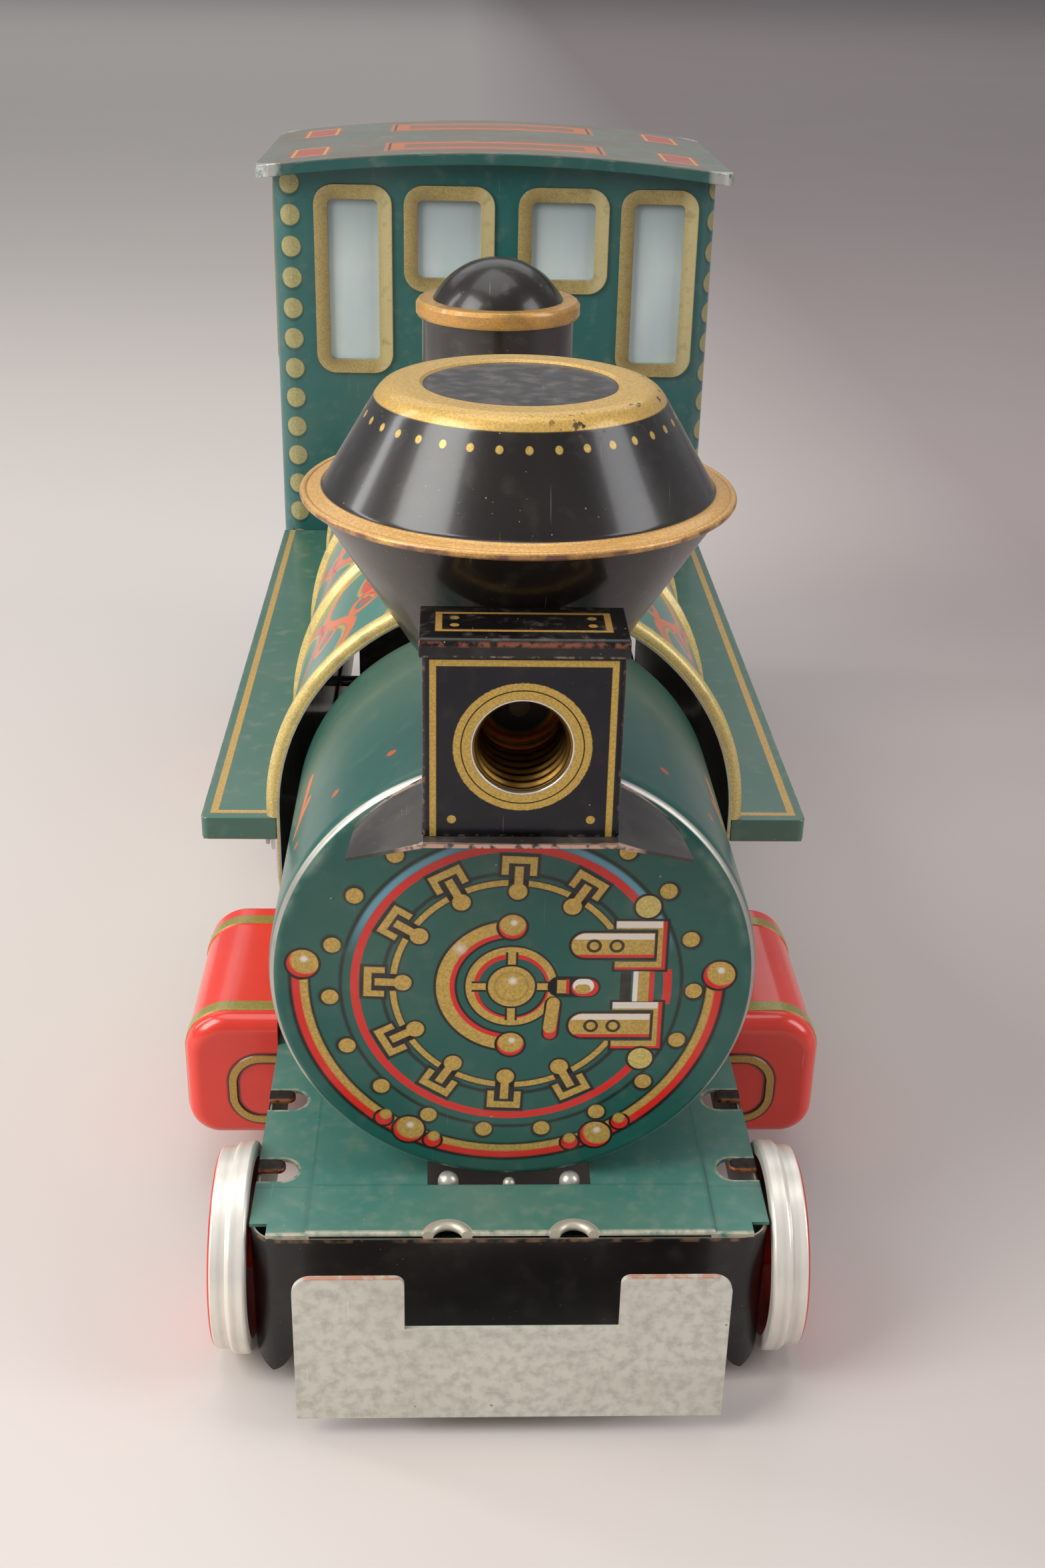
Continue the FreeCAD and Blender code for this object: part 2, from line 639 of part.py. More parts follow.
def battery_box():
    """Tin box for the cells, open below."""
    outer = block((-box_half_width, box_half_width), (at(box_front), at(box_rear)), (box_bottom, box_top))
    inner = block(inset((-box_half_width, box_half_width), tin), inset((at(box_front), at(box_rear)), tin),
                  (box_bottom, box_top - tin))
    return outer.cut(inner)


def battery(side):
    """One round cell lying along the engine, with its raised cap."""
    low, high = at(box_front + 5.2), at(box_rear - 1.6)
    r = cell_r
    profile = [(0, low), (r - 1.2, low), (r, low + 1.2), (r, high - 3.2), (r - 1.2, high - 2.0),
               (5.0, high - 2.0), (4.4, high), (0, high)]
    return turned_y(profile, side * cell_x, cell_z)


def battery_contacts():
    """Two flat springs in front of the cells and one bridge plate behind them."""
    pieces = []
    front = at(box_front) + tin
    for side in SIDES.values():
        x = side * cell_x
        leaf = prism_x([(front, cell_z - 9), (front + 0.5, cell_z - 9), (front + 4.6, cell_z),
                        (front + 0.5, cell_z + 9), (front, cell_z + 9), (front + 4.0, cell_z)],
                       (x - 4, x + 4))
        pieces.append(leaf)
    rear = at(box_rear) - tin
    pieces.append(block((-cell_x - 6, cell_x + 6), (rear - 1.0, rear), (cell_z - 6, cell_z + 6)))
    return Part.makeCompound(pieces)


def battery_door():
    """Hinged bottom hatch: a ribbed plate with a rolled barrel round the hinge pin."""
    plate_z = (pan_bottom + 0.1, pan_bottom + 0.1 + tin)
    y_low, y_high = at(box_front + 3), at(door_pin_place)
    plate = block((-35, 35), (y_low, y_high - 0.9), plate_z)
    plate = rounded(plate, vec(0, 0, 1), 3.0, lambda p: p.y < y_low + 1)
    ribs = [block((x - 1.2, x + 1.2), (y_low + 8, y_high - 12), (plate_z[1], plate_z[1] + 0.5))
            for x in (-20.0, 0.0, 20.0)]
    latch = block((-6, 6), (y_low - 2.4, y_low + 1), plate_z)
    barrel = rod_x((-30, 30), y_high, door_pin_z, 1.1)
    bore = rod_x((-40, 40), y_high, door_pin_z, door_pin_r + running_gap)
    return plate.fuse(ribs).fuse([latch, barrel]).cut(bore)


def door_hinge_pin():
    return rod_x((-pan_half_width, pan_half_width), at(door_pin_place), door_pin_z, door_pin_r)


def switch_lever():
    """Flat lever on a stub axle, with a round knob at its end."""
    y = at(cab_rear)
    arm_y = (y + tin + 0.3, y + tin + 1.3)
    stub = rod_y((y - 1.4, arm_y[1]), 0, switch_z, 1.5)
    washer = rod_y((y - 1.4, y - 0.4), 0, switch_z, 2.6)
    boss = rod_y((arm_y[0], arm_y[1] + 0.8), 0, switch_z, 3.6)
    arm = block((-2.2, 2.2), arm_y, (switch_z - 15.0, switch_z))
    knob = turned_y([(0, arm_y[0]), (3.0, arm_y[0]), (3.0, arm_y[1] + 1.2), (3.8, arm_y[1] + 2.0),
                     (3.8, at(310.2)), (3.0, at(311.0)), (0, at(311.0))], 0, switch_z - 15.0)
    lever = stub.fuse([washer, boss, arm, knob])
    lever.rotate(vec(0, y, switch_z), vec(0, 1, 0), switch_rest_angle)
    return lever


def wheel_profile(kind):
    """(radius, x) outline of the right-hand wheel of a kind, from its inner to its outer side."""
    if kind == "leading":
        r, tread, inner, outer, hub, step = leading_r, leading_tread_r, 41.9, 48.0, 3.5, leading_step
    else:
        r, tread, inner, outer, hub, step = driver_r, driver_tread_r, 44.0, 50.6, 5.0, 1.4
    rim = tread - 1.7
    web = (outer - 2.9, outer - 1.5)
    return [(axle_r, inner), (hub, inner), (hub, web[0]), (rim, web[0]), (rim, inner),
            (r - 0.4, inner), (r, inner + 0.4), (r, inner + step - 0.4), (r - 0.4, inner + step),
            (tread, inner + step + 0.1), (tread, outer - 0.5), (tread - 0.5, outer), (rim + 0.2, outer),
            (rim - 0.2, web[1]), (hub, web[1]), (hub - 0.4, outer - 0.2), (axle_r, outer - 0.2)]


def leading_wheel(side):
    wheel = turned_x(wheel_profile("leading"), at(leading_place), leading_r)
    return wheel if side > 0 else mirrored(wheel)


def crank_offset(name):
    angle = math.radians(crank_angle[name])
    return crank_r * math.cos(angle), crank_r * math.sin(angle)


def drive_wheel(name, place):
    """Dished driver with embossed spokes and a raised boss for the crank pin."""
    y, z = at(place), driver_r
    wheel = turned_x(wheel_profile("driver"), y, z)
    spokes = []
    spoke_count = 12
    for k in range(spoke_count):
        spoke = block((48.9, 50.1), (y - 1.1, y + 1.1), (z + 4.0, z + driver_tread_r - 1.6))
        spoke.rotate(vec(0, y, z), vec(1, 0, 0), 360.0 * k / spoke_count)
        spokes.append(spoke)
    dy, dz = crank_offset(name)
    boss = rod_x((48.9, 51.6), y + dy, z + dz, 3.4)
    wheel = wheel.fuse(spokes + [boss]).cut(rod_x((44, 60), y + dy, z + dz, rod_pin_r))
    return wheel if name == "right" else mirrored(wheel)


def axle(place, r, half):
    return rod_x((-half, half), at(place), r, axle_r)


def crank_pins(place):
    """The two rod pins of one axle, each with a round head."""
    pins = []
    for name, side in SIDES.items():
        dy, dz = crank_offset(name)
        y, z = at(place) + dy, driver_r + dz
        pin = rod_x((47.9, 54.6), y, z, rod_pin_r).fuse(rod_x((54.6, 55.4), y, z, 2.5))
        pins.append(pin if side > 0 else mirrored(pin))
    return Part.makeCompound(pins)


def side_rod(name):
    """Coupling rod with an eye at each end and a raised middle rib."""
    dy, dz = crank_offset(name)
    y0, y1 = (at(driver_places[k]) + dy for k in ("front", "rear"))
    z = driver_r + dz
    flat = (52.3, 53.9)
    rod = block(flat, (y0, y1), (z - 2.2, z + 2.2))
    rod = rod.fuse([rod_x(flat, y, z, 3.8) for y in (y0, y1)])
    rod = rod.fuse(block((53.9, 54.3), (y0 + 6, y1 - 6), (z - 1.0, z + 1.0)))
    rod = rod.cut(rod_x((50, 56), y0, z, rod_pin_r + running_gap))
    rod = rod.cut(rod_x((50, 56), y1, z, rod_pin_r + 0.3))
    return rod if name == "right" else mirrored(rod)


def spur_gear(teeth, x_span, y, z, bore_r, tooth_angle):
    """Spur gear on an axis along X, with one tooth pointing at tooth_angle in the YZ plane."""
    pitch_r = teeth * gear_module / 2
    root_r, tip_r = pitch_r - 1.1 * gear_module, pitch_r + 0.8 * gear_module
    root_half, tip_half = math.atan(0.34 / root_r), math.atan(0.17 / tip_r)
    outline = []
    for k in range(teeth):
        middle = math.radians(tooth_angle) + 2 * math.pi * k / teeth
        for r, offset in ((root_r, -root_half), (tip_r, -tip_half), (tip_r, tip_half),
                          (root_r, root_half)):
            outline.append((y + r * math.cos(middle + offset), z + r * math.sin(middle + offset)))
    return prism_x(outline, x_span).cut(rod_x(x_span, y, z, bore_r))


def drive_layout():
    """(y, z) of the motor, the reduction gear and the drive axle."""
    motor = (at(pivot_place) + motor_offset, drive_wheel_r)
    axle_at = (at(pivot_place) + drive_axle_offset, drive_wheel_r)
    centres = (pinion_teeth + gear_teeth) * gear_module / 2
    half_gap = (axle_at[0] - motor[0]) / 2
    rise = math.sqrt(centres ** 2 - half_gap ** 2)
    reduction = (motor[0] + half_gap, drive_wheel_r + rise)
    return motor, reduction, axle_at


def direction(start, end):
    return math.degrees(math.atan2(end[1] - start[1], end[0] - start[0]))


def gearbox_plate(side):
    """Side plate of the drive unit, hanging from the turntable."""
    motor, reduction, axle_at = drive_layout()
    outline = [(motor[0] - 10, 5), (axle_at[0] + 4, 7), (axle_at[0] + 7, 12),
               (axle_at[0] + 7, turntable_z), (motor[0] - 10, turntable_z)]
    plate = prism_x(outline, (side * plate_inner_x, side * plate_outer_x))
    through = (side * (plate_inner_x - 1), side * (plate_outer_x + 1))
    plate = plate.cut(rod_x(through, axle_at[0], axle_at[1], 1.0 + running_gap))
    plate = plate.cut(rod_x(through, motor[0], motor[1], 2.6))
    if side > 0:
        plate = plate.cut(rod_x(through, reduction[0], reduction[1], 1.0))
    return plate


def reduction_stub():
    _, reduction, _ = drive_layout()
    return rod_x((plate_inner_x, 20.3), reduction[0], reduction[1], 1.0)


def drive_turntable():
    """Round plate that carries the gearbox and turns under the bridge."""
    disc = rod_z((turntable_z, turntable_z + 1.0), 0, at(pivot_place), turntable_r)
    return disc.cut(rod_z((turntable_z - 1, turntable_z + 3), 0, at(pivot_place), pivot_r))


def swivel_rivet():
    """Pivot post fixed in the turntable, with its head above the bridge."""
    y = at(pivot_place)
    post = rod_z((turntable_z - 0.4, 29.95), 0, y, pivot_r)
    head = rod_z((29.95, 30.25), 0, y, 4.4)
    flange = rod_z((turntable_z - 0.4, turntable_z), 0, y, 4.0)
    return post.fuse(head).fuse(flange)


def swivel_bridge():
    """Strap across the pan that the drive unit hangs from."""
    half = pan_half_width - tin
    strap = block((-half, half), (at(pivot_place - 9), at(pivot_place + 9)), (28.8, 29.8))
    for side in SIDES.values():
        strap = strap.fuse(block((side * (half - 1.0), side * half),
                                 (at(pivot_place - 9), at(pivot_place + 9)), (20.0, 29.8)))
    return strap.cut(rod_z((28, 31), 0, at(pivot_place), pivot_r + running_gap))


def motor_can():
    motor, _, _ = drive_layout()
    can = rod_x((-9.0, plate_inner_x), motor[0], motor[1], motor_r)
    can = can.makeFillet(0.8, circles_at(can, "x", plate_inner_x))
    can = can.cut(rod_x((-9.0, 13.2), motor[0], motor[1], motor_r - 1.2))
    return can.cut(rod_x((10, 16), motor[0], motor[1], 1.0 + running_gap))


def motor_end_cap():
    """Moulded end of the motor with two terminal tags."""
    motor, _, _ = drive_layout()
    cap = rod_x((-plate_inner_x, -9.0), motor[0], motor[1], motor_r)
    cap = cap.cut(rod_x((-12.5, -9.0), motor[0], motor[1], motor_r - 1.5))
    cap = cap.cut(rod_x((-15, -9), motor[0], motor[1], 1.0 + running_gap))
    tags = [block((-12.5, -11.9), (motor[0] + dy - 1.2, motor[0] + dy + 1.2),
                  (motor[1] + motor_r - 1.0, motor[1] + motor_r + 2.6)) for dy in (-4.0, 4.0)]
    return cap.fuse(tags)


def motor_shaft():
    """Shaft and wound armature."""
    motor, _, _ = drive_layout()
    return rod_x((-13.6, 18.4), motor[0], motor[1], 1.0).fuse(rod_x((-6, 10), motor[0], motor[1], 7.6))


def motor_pinion():
    motor, reduction, _ = drive_layout()
    return spur_gear(pinion_teeth, (15.5, 17.9), motor[0], motor[1], 1.0, direction(motor, reduction))


def reduction_gear():
    """Large gear driven by the motor and the small pinion beside it, in one moulding."""
    motor, reduction, axle_at = drive_layout()
    gap = 180.0 / gear_teeth
    bore = 1.0 + running_gap
    large = spur_gear(gear_teeth, (15.5, 17.3), reduction[0], reduction[1], bore,
                      direction(reduction, motor) + gap)
    small = spur_gear(pinion_teeth, (17.3, 20.0), reduction[0], reduction[1], bore,
                      direction(reduction, axle_at))
    return large.fuse(small)


def drive_gear():
    _, reduction, axle_at = drive_layout()
    return spur_gear(gear_teeth, (17.7, 19.8), axle_at[0], axle_at[1], 1.0,
                     direction(axle_at, reduction) + 180.0 / gear_teeth)


def drive_wheels():
    """The two hubs that carry the rubber tyres."""
    _, _, (y, z) = drive_layout()
    profile = [(1.0, 20.6), (3.5, 20.6), (3.5, 22.0), (8.6, 22.0), (8.6, 20.6), (10.4, 20.6),
               (10.4, 27.6), (8.6, 27.6), (8.6, 26.0), (3.5, 26.0), (3.5, 27.6), (1.0, 27.6)]
    hub = turned_x(profile, y, z)
    return Part.makeCompound([hub, mirrored(hub)])


def drive_tyres():
    """Ribbed rubber tyres."""
    _, _, (y, z) = drive_layout()
    r = drive_wheel_r
    profile = [(10.4, 20.6), (r - 0.6, 20.6), (r, 21.2)]
    for k in range(3):
        groove = 22.6 + 1.5 * k
        profile += [(r, groove - 0.35), (r - 0.5, groove - 0.2), (r - 0.5, groove + 0.2),
                    (r, groove + 0.35)]
    profile += [(r, 27.0), (r - 0.6, 27.6), (10.4, 27.6)]
    tyre = turned_x(profile, y, z)
    return Part.makeCompound([tyre, mirrored(tyre)])


def drive_axle():
    _, _, (y, z) = drive_layout()
    return rod_x((-27.6, 27.6), y, z, 1.0)


def build():
    """Every piece by its node name."""
    pieces = {
        "chassis_pan": chassis_pan(),
        "front_deck": front_deck(),
        "body_tabs": body_tabs(),
        "bumper_plate": bumper_plate(),
        "base_plate_front": base_plate((at(pan_front) + tin, at(20.0)), pan_corner_r - tin),
        "base_plate_rear": base_plate((at(102.0), at(box_front - 2)), 2.0),
        "smokebox_shell": smokebox_shell(),
        "boiler_shell": boiler_shell(),
        "stack_lower_cone": stack_lower_cone(),
        "stack_upper_cone": stack_upper_cone(),
        "dome_body": dome_body(),
        "dome_cap": dome_cap(),
        "headlamp_box": headlamp_box(),
        "headlamp_cap": headlamp_cap(),
        "headlamp_bracket": headlamp_bracket(),
        "lamp_socket": lamp_socket(),
        "cab_shell": cab_shell(),
        "cab_glazing": cab_glazing(),
        "cab_roof": cab_roof(),
        "cab_floor": cab_floor(),
        "rear_beam": rear_beam(),
        "battery_box": battery_box(),
        "battery_contacts": battery_contacts(),
        "battery_door": battery_door(),
        "door_hinge_pin": door_hinge_pin(),
        "switch_lever": switch_lever(),
        "leading_axle": axle(leading_place, leading_r, 47.8),
        "swivel_bridge": swivel_bridge(),
        "drive_turntable": drive_turntable(),
        "swivel_rivet": swivel_rivet(),
        "reduction_stub": reduction_stub(),
        "reduction_gear": reduction_gear(),
        "motor_can": motor_can(),
        "motor_end_cap": motor_end_cap(),
        "motor_shaft": motor_shaft(),
        "motor_pinion": motor_pinion(),
        "drive_axle": drive_axle(),
        "drive_gear": drive_gear(),
        "drive_wheels": drive_wheels(),
        "drive_tyres": drive_tyres(),
    }
    for name, side in SIDES.items():
        pieces["running_board_" + name] = running_board(side)
        pieces["steam_cylinder_" + name] = steam_cylinder(side)
        pieces["battery_" + name] = battery(side)
        pieces["leading_wheel_" + name] = leading_wheel(side)
        pieces["gearbox_plate_" + name] = gearbox_plate(side)
        pieces["side_rod_" + name] = side_rod(name)
    for which, place in driver_places.items():
        pieces[which + "_drive_axle"] = axle(place, driver_r, 50.4)
        pieces[which + "_crank_pins"] = crank_pins(place)
        for name in SIDES:
            pieces[which + "_drive_wheel_" + name] = drive_wheel(name, place)
    return pieces


os.makedirs("parts", exist_ok=True)
for node, shape in build().items():
    if not shape.isValid():
        raise ValueError(node + " is not a valid shape")
    shape.exportStep("parts/" + node + ".step")
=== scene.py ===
import json
import math

import bmesh
import bpy
from mathutils import Matrix, Vector


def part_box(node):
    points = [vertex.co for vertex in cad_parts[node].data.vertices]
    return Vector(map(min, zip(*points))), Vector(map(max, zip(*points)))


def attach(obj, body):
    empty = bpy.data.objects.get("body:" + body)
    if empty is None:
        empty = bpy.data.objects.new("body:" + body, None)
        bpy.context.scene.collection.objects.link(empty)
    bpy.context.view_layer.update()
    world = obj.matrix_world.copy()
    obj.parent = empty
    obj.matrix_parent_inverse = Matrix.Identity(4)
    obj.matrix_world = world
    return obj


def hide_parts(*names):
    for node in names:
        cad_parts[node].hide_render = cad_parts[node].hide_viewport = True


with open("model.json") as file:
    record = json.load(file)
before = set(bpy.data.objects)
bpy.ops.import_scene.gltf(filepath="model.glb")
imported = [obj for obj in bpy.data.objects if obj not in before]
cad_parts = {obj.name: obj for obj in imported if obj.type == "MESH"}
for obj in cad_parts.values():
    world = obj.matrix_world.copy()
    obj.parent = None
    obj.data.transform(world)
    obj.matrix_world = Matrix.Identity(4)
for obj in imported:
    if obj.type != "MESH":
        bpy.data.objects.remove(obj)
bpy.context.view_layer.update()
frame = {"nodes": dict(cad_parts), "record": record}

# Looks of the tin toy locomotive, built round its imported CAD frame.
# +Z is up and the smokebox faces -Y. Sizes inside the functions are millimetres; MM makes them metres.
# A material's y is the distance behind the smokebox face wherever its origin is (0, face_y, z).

MM = 0.001

record = frame["record"]
body_of = {node: body for body, nodes in record["behaviour"]["bodies"].items() for node in nodes}


def corners(node):
    """Lowest and highest corner of a CAD node, in millimetres."""
    low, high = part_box(node)
    return low / MM, high / MM


# Places taken from the frame
smokebox_low, smokebox_high = corners("smokebox_shell")
face_y = smokebox_low.y
smokebox_rear = smokebox_high.y
smokebox_r = (smokebox_high.x - smokebox_low.x) / 2
boiler_z = (smokebox_low.z + smokebox_high.z) / 2
board_low, board_high = corners("running_board_right")
boiler_r = board_low.x
lamp_low, lamp_high = corners("headlamp_box")
cap_low, cap_high = corners("headlamp_cap")
stack_low, stack_high = corners("stack_upper_cone")
stack_y = (stack_low.y + stack_high.y) / 2
dome_low, dome_high = corners("dome_body")
dome_y = (dome_low.y + dome_high.y) / 2
cab_low, cab_high = corners("cab_shell")
roof_low, roof_high = corners("cab_roof")
deck_low, deck_high = corners("front_deck")
pan_low, pan_high = corners("chassis_pan")
plate_low, plate_high = corners("bumper_plate")
tin = 0.6
STACK_RISE = 1.2                       # the formed crown stands this much above the plain cone
BAND_PLACES = (108.0, 156.0, 208.0)    # the boiler's raised bands, behind the smokebox face
STEAM_BANDS = (43.8, 75.2)             # the steam cylinders' bands, the same way
FRONT_WINDOWS = (((-45.7, -26.0), 111.0), ((-23.0, 0.0), 132.0),    # (x span, sill) of each frame
                 ((6.0, 29.0), 132.0), ((32.0, 51.7), 111.0))
WINDOW_TOP = 158.0
ROOF_ARC_R = 430.0
LID_LIFT = 1.4                         # the lamp's lid and the top of its box stand this much higher
TAB_PLACES = (2.8, 22.2)               # the deck's tab slots, the same way
LIFTED = {"headlamp_box": (125.0, LID_LIFT), "headlamp_cap": (0.0, LID_LIFT)}   # (above, raised by)


def linear(code):
    """Linear RGBA of a colour written as a hex code."""
    parts = [int(code[k:k + 2], 16) / 255 for k in (0, 2, 4)]
    return tuple(c / 12.92 if c <= 0.04045 else ((c + 0.055) / 1.055) ** 2.4 for c in parts) + (1.0,)


def shade(colour, factor):
    """The colour made darker or lighter."""
    return tuple(min(1.0, c * factor) for c in colour[:3]) + (1.0,)


GREEN = linear("195a50")
DEEP_GREEN = linear("154a43")
GOLD = linear("c9a655")
PALE_GOLD = linear("d6c070")
RED = linear("d8231b")
ORANGE = linear("d9682b")
BLACK = linear("0f0d0e")
WARM_BLACK = linear("1d1815")
WHITE = linear("efe6dc")
# pale blue of the painted highlight on the smokebox door's ring
HIGHLIGHT_BLUE = linear("6fa8bf")
TIN = linear("b9b5ab")
DUST = linear("a89f8c")


# ---------------------------------------------------------------- numbers inside a material

class Num:
    """A number worked out at each point of a surface, so that a printed pattern reads as a formula."""

    def __init__(self, tree, socket):
        self.tree, self.socket = tree, socket

    def __add__(self, other):
        return calc("ADD", self, other)

    __radd__ = __add__

    def __sub__(self, other):
        return calc("SUBTRACT", self, other)

    def __rsub__(self, other):
        return calc("SUBTRACT", other, self)

    def __mul__(self, other):
        return calc("MULTIPLY", self, other)

    __rmul__ = __mul__

    def __truediv__(self, other):
        return calc("DIVIDE", self, other)

    def __neg__(self):
        return calc("MULTIPLY", self, -1.0)

    def __abs__(self):
        return calc("ABSOLUTE", self)


def calc(operation, *values, clamp=False):
    """One Math node on numbers and plain values."""
    tree = next(v.tree for v in values if isinstance(v, Num))
    node = tree.nodes.new("ShaderNodeMath")
    node.operation = operation
    node.use_clamp = clamp
    for socket, value in zip(node.inputs, values):
        if isinstance(value, Num):
            tree.links.new(value.socket, socket)
        else:
            socket.default_value = value
    return Num(tree, node.outputs[0])


def least(*values):
    result = values[0]
    for value in values[1:]:
        result = calc("MINIMUM", result, value)
    return result


def most(*values):
    result = values[0]
    for value in values[1:]:
        result = calc("MAXIMUM", result, value)
    return result


def hypot(a, b):
    return calc("SQRT", a * a + b * b)


def rise(value, low, high):
    """0 at low, 1 at high, straight between."""
    return calc("MULTIPLY_ADD", value, 1 / (high - low), -low / (high - low), clamp=True)


def within(distance, blur=0.12):
    """1 inside an outline and 0 outside, from the signed distance to it."""
    return calc("MULTIPLY_ADD", distance, -1 / blur, 0.5, clamp=True)


def disc(p, centre, radius):
    return hypot(p[0] - centre[0], p[1] - centre[1]) - radius


def hoop(p, centre, radius, half):
    return abs(hypot(p[0] - centre[0], p[1] - centre[1]) - radius) - half


def bar(p, x_span, y_span):
    """Upright rectangle between two spans."""
    return most(abs(p[0] - sum(x_span) / 2) - (x_span[1] - x_span[0]) / 2,
                abs(p[1] - sum(y_span) / 2) - (y_span[1] - y_span[0]) / 2)


def rounded_bar(p, x_span, y_span, radius):
    """Upright rectangle with round corners."""
    x = abs(p[0] - sum(x_span) / 2) - (x_span[1] - x_span[0]) / 2 + radius
    y = abs(p[1] - sum(y_span) / 2) - (y_span[1] - y_span[0]) / 2 + radius
    return hypot(most(x, 0.0), most(y, 0.0)) + least(most(x, y), 0.0) - radius


def capsule(p, start, end, half):
    """Straight stroke with round ends."""
    run = (end[0] - start[0], end[1] - start[1])
    length = run[0] ** 2 + run[1] ** 2
    x, y = p[0] - start[0], p[1] - start[1]
    along = calc("MINIMUM", calc("MAXIMUM", (x * run[0] + y * run[1]) / length, 0.0), 1.0)
    return hypot(x - along * run[0], y - along * run[1]) - half


def turned(p, degrees):
    """The point seen from axes turned anticlockwise."""
    c, s = math.cos(math.radians(degrees)), math.sin(math.radians(degrees))
    return p[0] * c + p[1] * s, p[1] * c - p[0] * s


def spokewise(p, centre, count, first):
    """(outward, sideways, sector) from the nearest of count spokes, the first one at an angle."""
    x, y = p[0] - centre[0], p[1] - centre[1]
    step = 2 * math.pi / count
    turns = (calc("ARCTAN2", y, x) - math.radians(first)) / step
    sector = calc("ROUND", turns)
    offset = (turns - sector) * step
    r = hypot(x, y)
    return r * calc("COSINE", offset), r * calc("SINE", offset), sector


def repeated(value, pitch, offset=0.0):
    """Distance from the nearest of a row of places a pitch apart."""
    shifted = (value - offset) / pitch
    return (shifted - calc("ROUND", shifted)) * pitch


# ---------------------------------------------------------------- materials

class Finish:
    """A material built up in layers over its ground, with x, y, z in millimetres from an origin."""

    def __init__(self, name, ground, metal=0.0, rough=0.3, origin=(0, 0, 0)):
        self.material = bpy.data.materials.new(name)
        self.material.use_nodes = True
        self.tree = self.material.node_tree
        self.tree.nodes.clear()
        self.coords = self.tree.nodes.new("ShaderNodeTexCoord").outputs["Object"]
        split = self.tree.nodes.new("ShaderNodeSeparateXYZ")
        self.tree.links.new(self.coords, split.inputs[0])
        axes = [Num(self.tree, socket) for socket in split.outputs]
        self.x, self.y, self.z = (calc("MULTIPLY_ADD", a, 1 / MM, -o) for a, o in zip(axes, origin))
        self.colour, self.metal, self.rough = ground, metal, rough
        self.height = None

    def plug(self, value, socket):
        if isinstance(value, Num):
            self.tree.links.new(value.socket, socket)
        elif isinstance(value, bpy.types.NodeSocket):
            self.tree.links.new(value, socket)
        else:
            socket.default_value = value

    def paint(self, mask, colour, metal=None, rough=None):
        """Lays a colour over what is there, and its metal and roughness too where they are given."""
        mix = self.tree.nodes.new("ShaderNodeMix")
        mix.data_type = "RGBA"
        self.plug(mask, mix.inputs[0])
        self.plug(self.colour, mix.inputs[6])
        self.plug(colour, mix.inputs[7])
        self.colour = mix.outputs[2]
        if metal is not None:
            self.metal = self.metal + mask * (metal - self.metal)
        if rough is not None:
            self.rough = self.rough + mask * (rough - self.rough)
        return self

    def ink(self, where, colour, shape, blur=0.12):
        """Prints a shape in a colour on part of the surface."""
        self.paint(where * within(shape, blur), colour)

    def gold(self, where, shape, blur=0.12, colour=GOLD):
        """Prints a shape in gold ink on part of the surface."""
        gild(self, where * within(shape, blur), colour)

    def mottle(self, colour, size, span, amount=1.0, detail=4.0, where=None, **surface):
        """Soft patches of a colour, where a noise is in the upper part of its span."""
        patches = rise(self.noise(size, detail), *span)
        self.paint((patches if where is None else where * patches) * amount, colour, **surface)

    def mapped(self, stretch, turn):
        """The coordinates turned by degrees and scaled along each axis."""
        mapping = self.tree.nodes.new("ShaderNodeMapping")
        self.tree.links.new(self.coords, mapping.inputs[0])
        mapping.inputs["Rotation"].default_value = [math.radians(a) for a in turn]
        mapping.inputs["Scale"].default_value = stretch
        return mapping.outputs[0]

    def noise(self, size, detail=2.0, stretch=(1, 1, 1), turn=(0, 0, 0)):
        """Soft noise from 0 to 1 whose lumps are about size millimetres across."""
        node = self.tree.nodes.new("ShaderNodeTexNoise")
        self.tree.links.new(self.mapped(stretch, turn), node.inputs["Vector"])
        node.inputs["Scale"].default_value = 1 / (size * MM)
        node.inputs["Detail"].default_value = detail
        return Num(self.tree, node.outputs[0])

    def specks(self, cell, radius, share, stretch=(1, 1, 1), turn=(0, 0, 0)):
        """Specks up to a radius in millimetres, in a share of the cells."""
        node = self.tree.nodes.new("ShaderNodeTexVoronoi")
        self.tree.links.new(self.mapped(stretch, turn), node.inputs["Vector"])
        node.inputs["Scale"].default_value = 1 / (cell * MM)
        picked = self.tree.nodes.new("ShaderNodeSeparateColor")
        self.tree.links.new(node.outputs["Color"], picked.inputs[0])
        distance = Num(self.tree, node.outputs["Distance"]) * cell
        chance = Num(self.tree, picked.outputs[0])
        size = Num(self.tree, picked.outputs[1]) * radius
        return within(distance - size, radius * 0.5) * within(chance - share, 0.01)

    def scratches(self, turn, share=0.5, length=4.0, half=0.06):
        """Short straight scratches: a thin tilted disc in each cell, cut by the surface."""
        flat = 2 * half / length
        return self.specks(0.8, half, share, stretch=(1, flat, flat), turn=turn)

    def relief(self, value):
        """Adds a height in millimetres."""
        self.height = value if self.height is None else self.height + value

    def done(self, coat=0.0, coat_rough=0.08, bump=1.0, **constants):
        """Joins the layers to the surface shader; constants are set on its own sockets."""
        shader = self.tree.nodes.new("ShaderNodeBsdfPrincipled")
        self.plug(self.colour, shader.inputs["Base Color"])
        self.plug(self.metal, shader.inputs["Metallic"])
        self.plug(self.rough, shader.inputs["Roughness"])
        shader.inputs["Coat Weight"].default_value = coat
        shader.inputs["Coat Roughness"].default_value = coat_rough
        for name, value in constants.items():
            shader.inputs[name.replace("_", " ").title().replace("Ior", "IOR")].default_value = value
        if self.height is not None:
            node = self.tree.nodes.new("ShaderNodeBump")
            node.inputs["Strength"].default_value = bump
            node.inputs["Distance"].default_value = MM
            self.tree.links.new(self.height.socket, node.inputs["Height"])
            self.tree.links.new(node.outputs[0], shader.inputs["Normal"])
        out = self.tree.nodes.new("ShaderNodeOutputMaterial")
        self.tree.links.new(shader.outputs[0], out.inputs[0])
        return self.material


